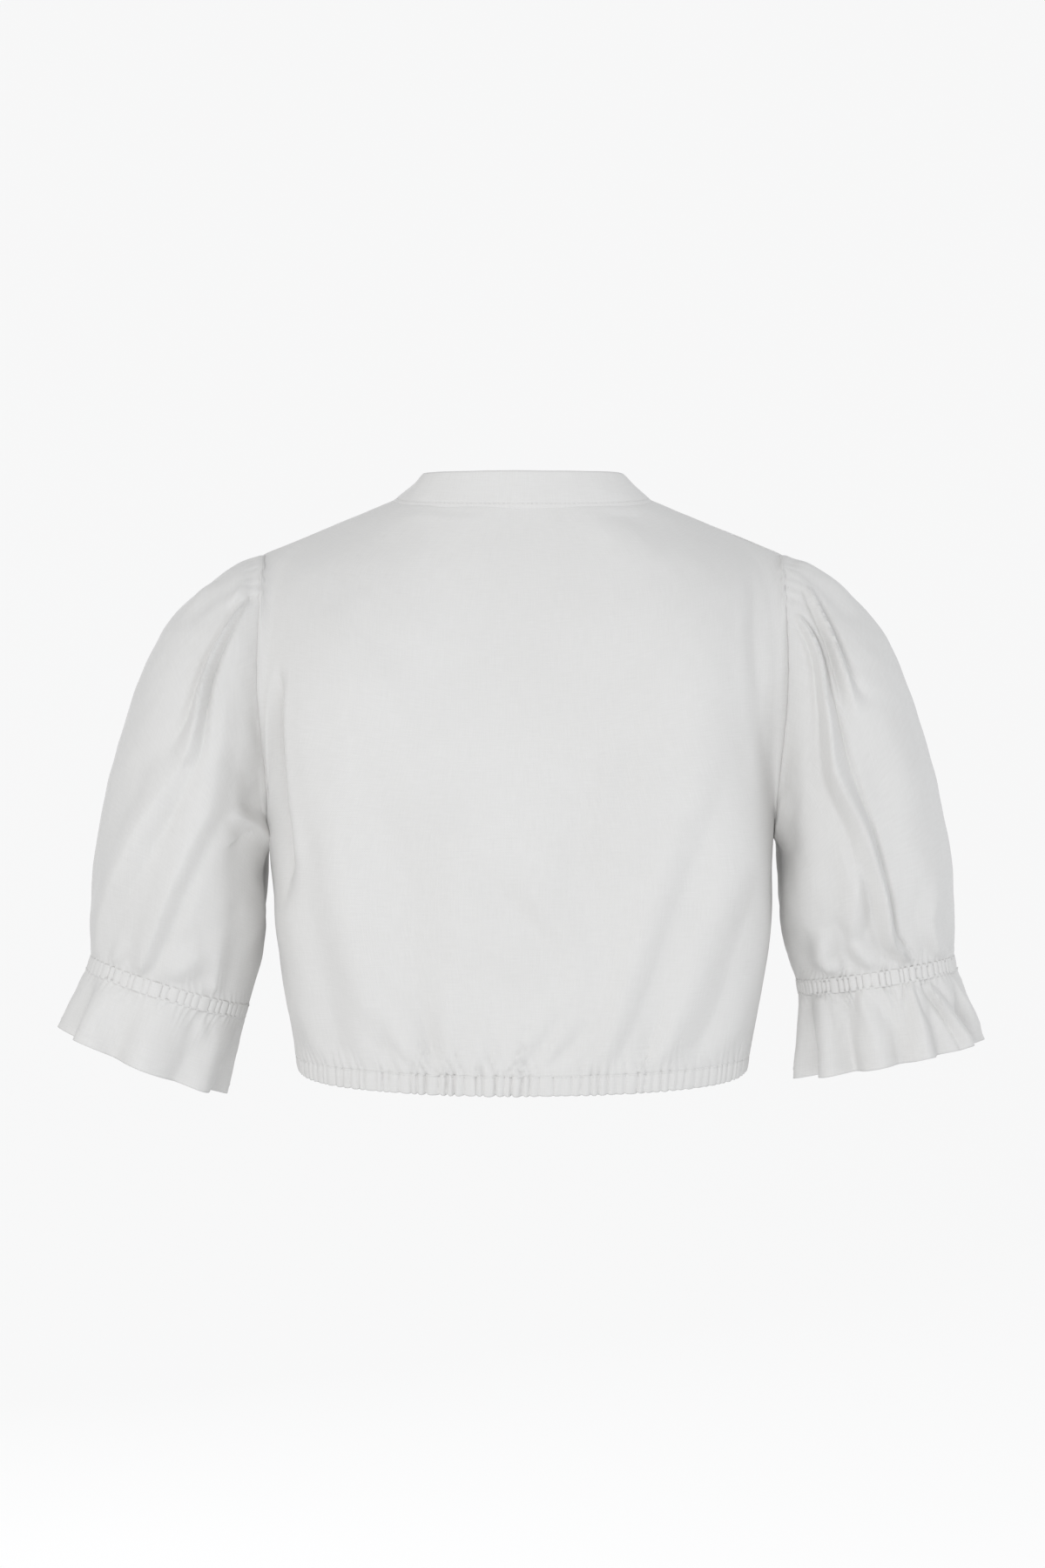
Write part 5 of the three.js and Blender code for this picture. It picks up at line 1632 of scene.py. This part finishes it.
@dataclass
class Sleeve:
    """A puffed half sleeve with an elastic channel and a frill below it.

    inner_x and inner_z are where the arm's inner edge meets the elastic. The grids give rows and columns.
    seam_sink and seam_shift are how far the seam at the armhole lies inside and under the bodice's edge.
    """

    side: Side
    inner_x: float
    inner_z: float
    ribs: Ribs
    hem_outer: tuple[float, float]
    hem_inner: tuple[float, float]
    hem_depth: float
    waves: int
    wave_height: float
    wave_phase: float
    back_creases: tuple[Crease, ...]
    front_creases: tuple[Crease, ...]
    frill_creases: tuple[Crease, ...]
    cap_half_angle: float = 50.0
    cap_gathers: tuple = (15, 1.8, 1.3, (8.0, 26.0), 0.06)
    ease_gathers: tuple = (26, 2.4, 0.5, (5.0, 13.0), 0.1)
    crumple: Vector = (0.4, 14.0, 60.0)
    frill_crumple: Vector = (0.3, 10.0, 45.0)
    top_fade: float = 5.0
    elastic_fade: float = 9.0
    crumple_fade: float = 8.0
    seam_sink: float = 1.0
    seam_shift: float = 0.8
    seam_width: float = 1.2
    channel_height: float = 10.0
    hem_stitch: float = 6.0
    hem_dent: tuple[float, float] = (0.28, 0.8)
    hem_fold: float = 0.12
    sleeve_grid: tuple[int, int, float] = (128, 308, 1.08)
    frill_grid: tuple[int, int] = (36, 320)
    columns_per_rib: int = 9
    thickness: float = 0.55
    channel_thickness: float = 0.8
    seed: int = 70
    sections: Sections = field(default_factory=lambda: Sections(
        "outer_x outer_z inner_x inner_z depth y",
        (0.0, 170, -35, 163.5, -219, 54.5, 0),
        (0.08, 185, -41, 167.5, -224, 63, 0),
        (0.2, 209, -58, 170, -230, 70, -1),
        (0.32, 229, -77, 171, -238, 74, -2),
        (0.44, 246, -107, 171, -247, 77, -3),
        (0.56, 260, -146, 170, -258, 77, -4),
        (0.68, 272, -190, 169, -270, 75, -5),
        (0.8, 280.5, -235, 169.5, -286, 70, -6),
        (0.91, 283, -273, 173, -305, 61, -7),
        (1.0, 282.5, -297, 180, -327, 51, -8),
    ))

    def read(self, at: Array) -> dict[str, Array]:
        """Reads the sleeve's sections, with its own lower end eased in."""
        found, usual = self.sections.read(at), self.sections.read(1.0)
        ease = smooth((np.asarray(at) - 0.4) / 0.6)
        for name, own in (("inner_x", self.inner_x), ("inner_z", self.inner_z)):
            found[name] = found[name] + ease * (own - usual[name])
        return found

    def ring(self, read: dict[str, Array], angle: Array, swell: Array | float = 0.0) -> Array:
        """Gives points round a section: an ellipse between its outer and inner edge, as deep as it says.

        Args:
            read: the section's columns.
            angle: 0 at the outer edge, a quarter turn at the back.
            swell: how far it is let out all round.

        Returns:
            The points.
        """
        half_x, half_z = (read["outer_x"] - read["inner_x"]) / 2, (read["outer_z"] - read["inner_z"]) / 2
        half = np.hypot(half_x, half_z)
        grow = (half + swell) / half
        return stack(
            self.side.value * ((read["outer_x"] + read["inner_x"]) / 2 + half_x * grow * np.cos(angle)),
            read["y"] + (read["depth"] + swell) * np.sin(angle),
            (read["outer_z"] + read["inner_z"]) / 2 + half_z * grow * np.cos(angle))

    def points(self, at: Array, angle: Array) -> Array:
        """Gives points of the puffed part: at is 0 at the armhole and 1 at the elastic."""
        at, angle = spread(at, angle)
        return self.ring(self.read(at), angle)

    def turned(self, angle: Array) -> Array:
        """Gives the share of a whole turn, from 0 to 1, that an angle makes."""
        return (angle / (2.0 * np.pi)) % 1.0

    def columns(self, count: int) -> Array:
        """Spreads angles round the arm, closer together on its back."""
        turn = full_turn(count)
        return (turn + 0.28 * np.cos(turn))[None]

    def folds(self, creases: tuple[Crease, ...], points: Array) -> Array:
        """Works out the height of some folds of this sleeve."""
        return fold_height(creases, self.side.value * points[..., 0], points[..., 2])

    def sleeve_cloth(self) -> Cloth:
        """Lays out the puffed part, with the gathers of its cap and of its elastic and its folds."""
        count, around, crowding = self.sleeve_grid
        rows = np.linspace(0.0, 1.0, count)[:, None] ** crowding
        angle = self.columns(around)
        points = self.points(rows, angle)
        walked = walk(points)
        left = walked[-1:] - walked
        degrees = np.degrees((angle + np.pi) % (2.0 * np.pi) - np.pi)
        cap = self.cap_half_angle
        gathers = Gathers(-cap, cap, *self.cap_gathers, self.seed)
        ease = Gathers(-180.0, 180.0, *self.ease_gathers, self.seed + 1, 360.0)
        started = smooth(walked / self.top_fade)
        lift = gathers.lift(degrees, walked) * started
        lift = lift + ease.lift(degrees, walked) * smooth(walked / 3.0)
        lift = lift + self.ribs.lift(self.turned(angle), left)
        seen = smooth((np.abs(np.sin(angle)) - 0.02) / 0.3) * started * smooth(left / self.elastic_fade)
        behind, before = self.folds(self.back_creases, points), self.folds(self.front_creases, points)
        lift = lift + np.where(np.sin(angle) > 0.0, behind, before) * seen
        calm = smooth(walked / self.crumple_fade) * smooth(left / self.crumple_fade)
        lift = lift + Crumple(*self.crumple, self.seed + 3).lift(points) * calm
        under = bell(walked, self.seam_width)
        inward = unit((points[0].mean(axis=0) - points[0]) * np.array([0.0, 1.0, 1.0]))
        points = points + inward * (self.seam_sink * under)[..., None]
        points[..., 0] += self.side.value * (SEAM.stray(points[..., 2], walked) - self.seam_shift * under)
        name, ends = f"sleeve_{self.side.name.lower()}_cloth", (Edge.FIRST_ROW, Edge.LAST_ROW)
        return Cloth(name, points, True, self.side.value, self.thickness, lift, ends)

    def below(self, distance: float) -> dict[str, Array]:
        """Moves the last section straight on down the arm."""
        last = self.read(np.array(1.0))
        along = unit(np.array([last["outer_z"] - last["inner_z"], last["inner_x"] - last["outer_x"]]))
        moved = {"outer_x": along[0], "inner_x": along[0], "outer_z": along[1], "inner_z": along[1]}
        return {name: last[name] + distance * moved.get(name, 0.0) for name in last}

    def channel(self, share: Array, angle: Array) -> Array:
        """Gives points of the elastic channel with its ribs, slightly rounded: the share is 0 at its top."""
        start, end = self.below(JOINT_GAP), self.below(self.channel_height)
        read = {name: mix(start[name], end[name], share) for name in start}
        ribs = self.ribs.lift(self.turned(angle), np.zeros(np.shape(share)))
        return self.ring(read, angle, ribs + 0.25 * np.sin(np.pi * share))

    def channel_cloth(self) -> Cloth:
        """Lays out the elastic channel."""
        columns = full_turn(self.ribs.count * self.columns_per_rib)
        share, angle = spread(np.linspace(0.0, 1.0, 12)[:, None], columns[None])
        name = f"elastic_{self.side.name.lower()}_cloth"
        return Cloth(name, self.channel(share, angle), True, self.side.value, self.channel_thickness)

    def frill_section(self, share: Array) -> dict[str, Array]:
        """Flares from the channel to the hem of the frill, slowly at first."""
        start = self.below(self.channel_height + JOINT_GAP)
        names = "outer_x", "outer_z", "inner_x", "inner_z", "depth", "y"
        ends = *self.hem_outer, *self.hem_inner, self.hem_depth, start["y"]
        return {name: mix(start[name], end, share) for name, end in zip(names, ends)}

    def frill_cloth(self) -> Cloth:
        """Lays out the frill: waves that grow towards its hem, uneven in size, and the ribs' ends."""
        share = np.linspace(0.0, 1.0, self.frill_grid[0])[:, None]
        share, angle = spread(share, self.columns(self.frill_grid[1]))
        rng = np.random.default_rng(self.seed + 5)

        def slow(largest: float, turns: Vector) -> Array:
            """Adds up slow waves round the arm, of drawn heights and places."""
            return sum(
                rng.uniform(0.1, largest) * np.sin(k * angle + rng.uniform(0, 2 * np.pi)) for k in turns)

        uneven = slow(0.34, (1, 2, 3))
        tall = 1.0 + slow(0.3, (1, 2, 4))
        wave = np.sin(self.waves * angle + np.radians(self.wave_phase) + uneven)
        second = np.sin(2 * self.waves * angle + 2.2 * uneven + 1.0)
        swell = self.wave_height * mix(0.12, 1.0, share**0.9) * (tall * wave + 0.16 * second)
        points = self.ring(self.frill_section(share), angle, swell)
        walked = walk(points)
        hem = walked[-1:] - walked
        lift = self.ribs.lift(self.turned(angle), walked)
        dent = self.hem_dent[0] * bell(hem - self.hem_stitch, self.hem_dent[1])
        lift = lift - dent + self.hem_fold * smooth(self.hem_stitch - hem)
        calm = smooth(walked / self.crumple_fade)
        lift = lift + Crumple(*self.frill_crumple, self.seed + 7).lift(points) * calm
        behind = self.folds(self.frill_creases, points) * smooth(np.sin(angle) / 0.3)
        lift = lift + behind * smooth(walked / 4.0)
        name = f"frill_{self.side.name.lower()}_cloth"
        return Cloth(name, points, True, self.side.value, self.thickness, lift, (Edge.FIRST_ROW,))

    def seams(self, sewing: Sewing, frill: Cloth) -> None:
        """Stitches both edges of the channel, and the narrow hem of the frill."""
        for share in (0.14, 0.86):
            rows, turns = spread(share + np.array([[-0.04], [0.0], [0.04]]), full_turn(1600)[None])
            points = self.channel(rows, turns)
            out = outward_of(points, True, self.side.value)
            sewing.row(points[1] + out[1] * 0.1, out[1])
        outer = frill.outer()
        out = outward_of(outer, True, self.side.value)
        hem = np.linalg.norm(outer - outer[-1:], axis=-1)
        row = int(np.argmin(np.abs(hem.mean(axis=1) - self.hem_stitch)))
        sewing.row(outer[row] + out[row] * 0.12, out[row])


@dataclass(frozen=True)
class Photo:
    """The size of the photograph, and where the camera stands for it."""

    height: int = 1800
    millimetres_per_pixel: float = 0.57
    centre_height: float = -185.0
    distance: float = 2200.0


@dataclass(frozen=True)
class Lamp:
    """A square soft light that looks at the blouse, with its place and its size in metres."""

    name: str
    place: Vector
    size: float
    power: float
    tint: Vector = DAYLIGHT

    def hang(self) -> None:
        """Adds the lamp to the scene."""
        data = bpy.data.lights.new(self.name, "AREA")
        data.size = self.size
        data.color = self.tint
        data.energy = self.power
        lamp = bpy.data.objects.new(self.name, data)
        lamp.location = self.place
        way = np.array([0.0, 0.0, -0.2]) - np.array(self.place)
        down = np.arctan2(way[2], np.hypot(way[0], way[1]))
        lamp.rotation_euler = (np.pi / 2 + down, 0.0, np.arctan2(way[1], way[0]) - np.pi / 2)
        bpy.context.scene.collection.objects.link(lamp)


LAMPS = (
    Lamp("key", (0.9, 3.1, 0.35), 1.2, 30.0),
    Lamp("key_left", (2.8, 1.4, 0.0), 1.3, 7.0, WARM_LIGHT),
    Lamp("key_right", (-2.8, 1.2, -0.1), 1.3, 14.0, COOL_LIGHT),
    Lamp("under", (0.0, 2.1, -1.2), 1.2, 6.0),
    Lamp("front", (0.8, -3.0, 0.3), 1.4, 32.0),
    Lamp("front_right", (-2.2, -2.2, 0.0), 1.3, 13.0),
)


@dataclass
class Studio:
    """The camera, the soft lights and the pale floor, which sweeps up far away on all sides. In metres."""

    photo: Photo = Photo()
    floor_height: float = -1.36
    floor_spokes: int = 72
    floor_glow: float = 0.85
    sweep_start: float = 2.4
    sweep_radius: float = 2.6
    wall_height: float = 1.6
    sensor: float = 36.0
    sky: float = 0.64

    def camera(self) -> None:
        """Stands the camera behind the blouse, level, with the photograph's whole frame in view."""
        data = bpy.data.cameras.new("camera")
        data.sensor_fit = "VERTICAL"
        data.sensor_height = self.sensor
        seen = self.photo.height * self.photo.millimetres_per_pixel
        data.lens = self.sensor * self.photo.distance / seen
        data.clip_end = 60.0
        camera = bpy.data.objects.new("camera", data)
        camera.location = (0.0, self.photo.distance * METRES, self.photo.centre_height * METRES)
        camera.rotation_euler = (np.pi / 2, 0.0, np.pi)
        bpy.context.scene.collection.objects.link(camera)
        bpy.context.scene.camera = camera

    def lights(self) -> None:
        """Lights the blouse softly, most of all from the camera's side, with an even sky."""
        for lamp in LAMPS:
            lamp.hang()
        world = bpy.data.worlds.new("sky")
        world.use_nodes = True
        background = world.node_tree.nodes["Background"]
        background.inputs[0].default_value = colour(*DAYLIGHT)
        background.inputs[1].default_value = self.sky
        bpy.context.scene.world = world
        bpy.context.scene.view_settings.view_transform = "Standard"

    def floor(self) -> None:
        """Spins the floor's profile: flat, then a quarter circle up into a wall."""
        bend = np.linspace(0.0, np.pi / 2, 14)
        swept = self.sweep_radius * np.array([np.sin(bend), 1.0 - np.cos(bend)])
        end = self.sweep_start + self.sweep_radius
        radius = np.concatenate([[0.01], self.sweep_start + swept[0], [end]])
        height = np.concatenate([[0.0], swept[1], [self.sweep_radius + self.wall_height]])
        angle, radius = full_turn(self.floor_spokes)[None], radius[:, None]
        grid = stack(radius * np.cos(angle), radius * np.sin(angle), (height + self.floor_height)[:, None])
        faces = quads(len(grid), self.floor_spokes)[:, FLIPPED]
        paper = Graph("studio_paper").finish(
            Base_Color=colour(0.1, 0.1, 0.1), Roughness=0.9, Emission_Color=colour(1, 1, 1),
            Emission_Strength=self.floor_glow)
        floor = new_object("floor", grid.reshape(-1, 3) / METRES, faces, paper)
        floor.visible_diffuse = False
        floor.visible_glossy = False
        floor.visible_shadow = False


@dataclass(frozen=True)
class Cut:
    """What a piece of cloth was cut to, in millimetres, and the share of that oblong which it fills."""

    node: str
    width: float
    length: float
    area_share: float
    held: str


CUTS = {
    "back": Cut("back_panel", 460, 420, 0.86, "draped"),
    "front_left": Cut("front_panel_left", 270, 420, 0.74, "draped"),
    "front_right": Cut("front_panel_right", 270, 420, 0.74, "draped"),
    "neck_band_cloth": Cut("neck_band", 560, 24, 0.86, "draped"),
    "placket": Cut("button_placket", 22, 218, 1.0, "laid"),
    "hem_casing_cloth": Cut("hem_casing", 980, 14, 1.0, "gathered"),
    "sleeve_left_cloth": Cut("sleeve_left", 470, 290, 0.8, "gathered"),
    "sleeve_right_cloth": Cut("sleeve_right", 470, 290, 0.8, "gathered"),
    "elastic_left_cloth": Cut("sleeve_elastic_left", 400, 10.5, 1.0, "gathered"),
    "elastic_right_cloth": Cut("sleeve_elastic_right", 420, 10.5, 1.0, "gathered"),
    "frill_left_cloth": Cut("sleeve_frill_left", 440, 52, 1.0, "gathered"),
    "frill_right_cloth": Cut("sleeve_frill_right", 480, 52, 1.0, "gathered"),
}


def dress(piece: bpy.types.Object) -> None:
    """Lets a piece ride on the blouse's one body, and reports it."""
    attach(piece, "root")
    LOG.info("%s: %d faces", piece.name, len(piece.data.polygons))


def lay_cloth(cloth: Cloth, material: bpy.types.Material) -> None:
    """Makes a piece of cloth and puts it in its node's place, hiding the node's own part."""
    cut = CUTS[cloth.name]
    piece = cloth.build(material)
    dress(piece)
    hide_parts(cut.node)
    area = cut.area_share * cut.width * cut.length * METRES**2
    cut.width * METRES


def sleeves() -> tuple[Sleeve, Sleeve]:
    """Gives the two sleeves, alike but for their folds and their ends."""
    left = Sleeve(
        Side.LEFT, 180.5, -329.0, LEFT_RIBS, (300.5, -345.0), (199.0, -387.0), 56.0, 8, 4.5, 20.0,
        LEFT_SLEEVE_BACK, LEFT_SLEEVE_FRONT, LEFT_FRILL, seed=70)
    right = Sleeve(
        Side.RIGHT, 180.5, -313.0, RIGHT_RIBS, (298.0, -353.0), (184.0, -376.0), 60.0, 11, 6.0, 0.0,
        RIGHT_SLEEVE_BACK, RIGHT_SLEEVE_FRONT, RIGHT_FRILL, seed=90)
    return left, right


def main() -> None:
    """Builds the blouse and the studio."""
    logging.basicConfig(level=logging.INFO, format="%(name)s %(message)s")
    plain = PlainWeave("plain_weave").make()
    gathered = PlainWeave("gathered_weave", roughness=0.88).make()
    thread = SEWING_THREAD.make()
    bodice = Bodice()
    band, casing = NeckBand(bodice), HemCasing(bodice)
    sewing = Sewing("topstitching")
    lay_cloth(bodice.back_cloth(), plain)
    for side in Side:
        lay_cloth(bodice.front_cloth(side), plain)
    lay_cloth(bodice.placket_cloth(), plain)
    lay_cloth(band.cloth(), plain)
    lay_cloth(casing.cloth(), gathered)
    for sleeve in sleeves():
        lay_cloth(sleeve.sleeve_cloth(), plain)
        lay_cloth(sleeve.channel_cloth(), gathered)
        frill = sleeve.frill_cloth()
        lay_cloth(frill, plain)
        sleeve.seams(sewing, frill)
    bodice.placket_seams(sewing)
    bodice.armhole_seams(sewing)
    band.seams(sewing)
    casing.seams(sewing)
    dress(sewing.build(thread))
    for piece in Buttons(bodice).build(MILKY_RESIN.make(), thread):
        dress(piece)
    studio = Studio()
    studio.camera()
    studio.lights()
    studio.floor()


if __name__ == "__main__":
    main()
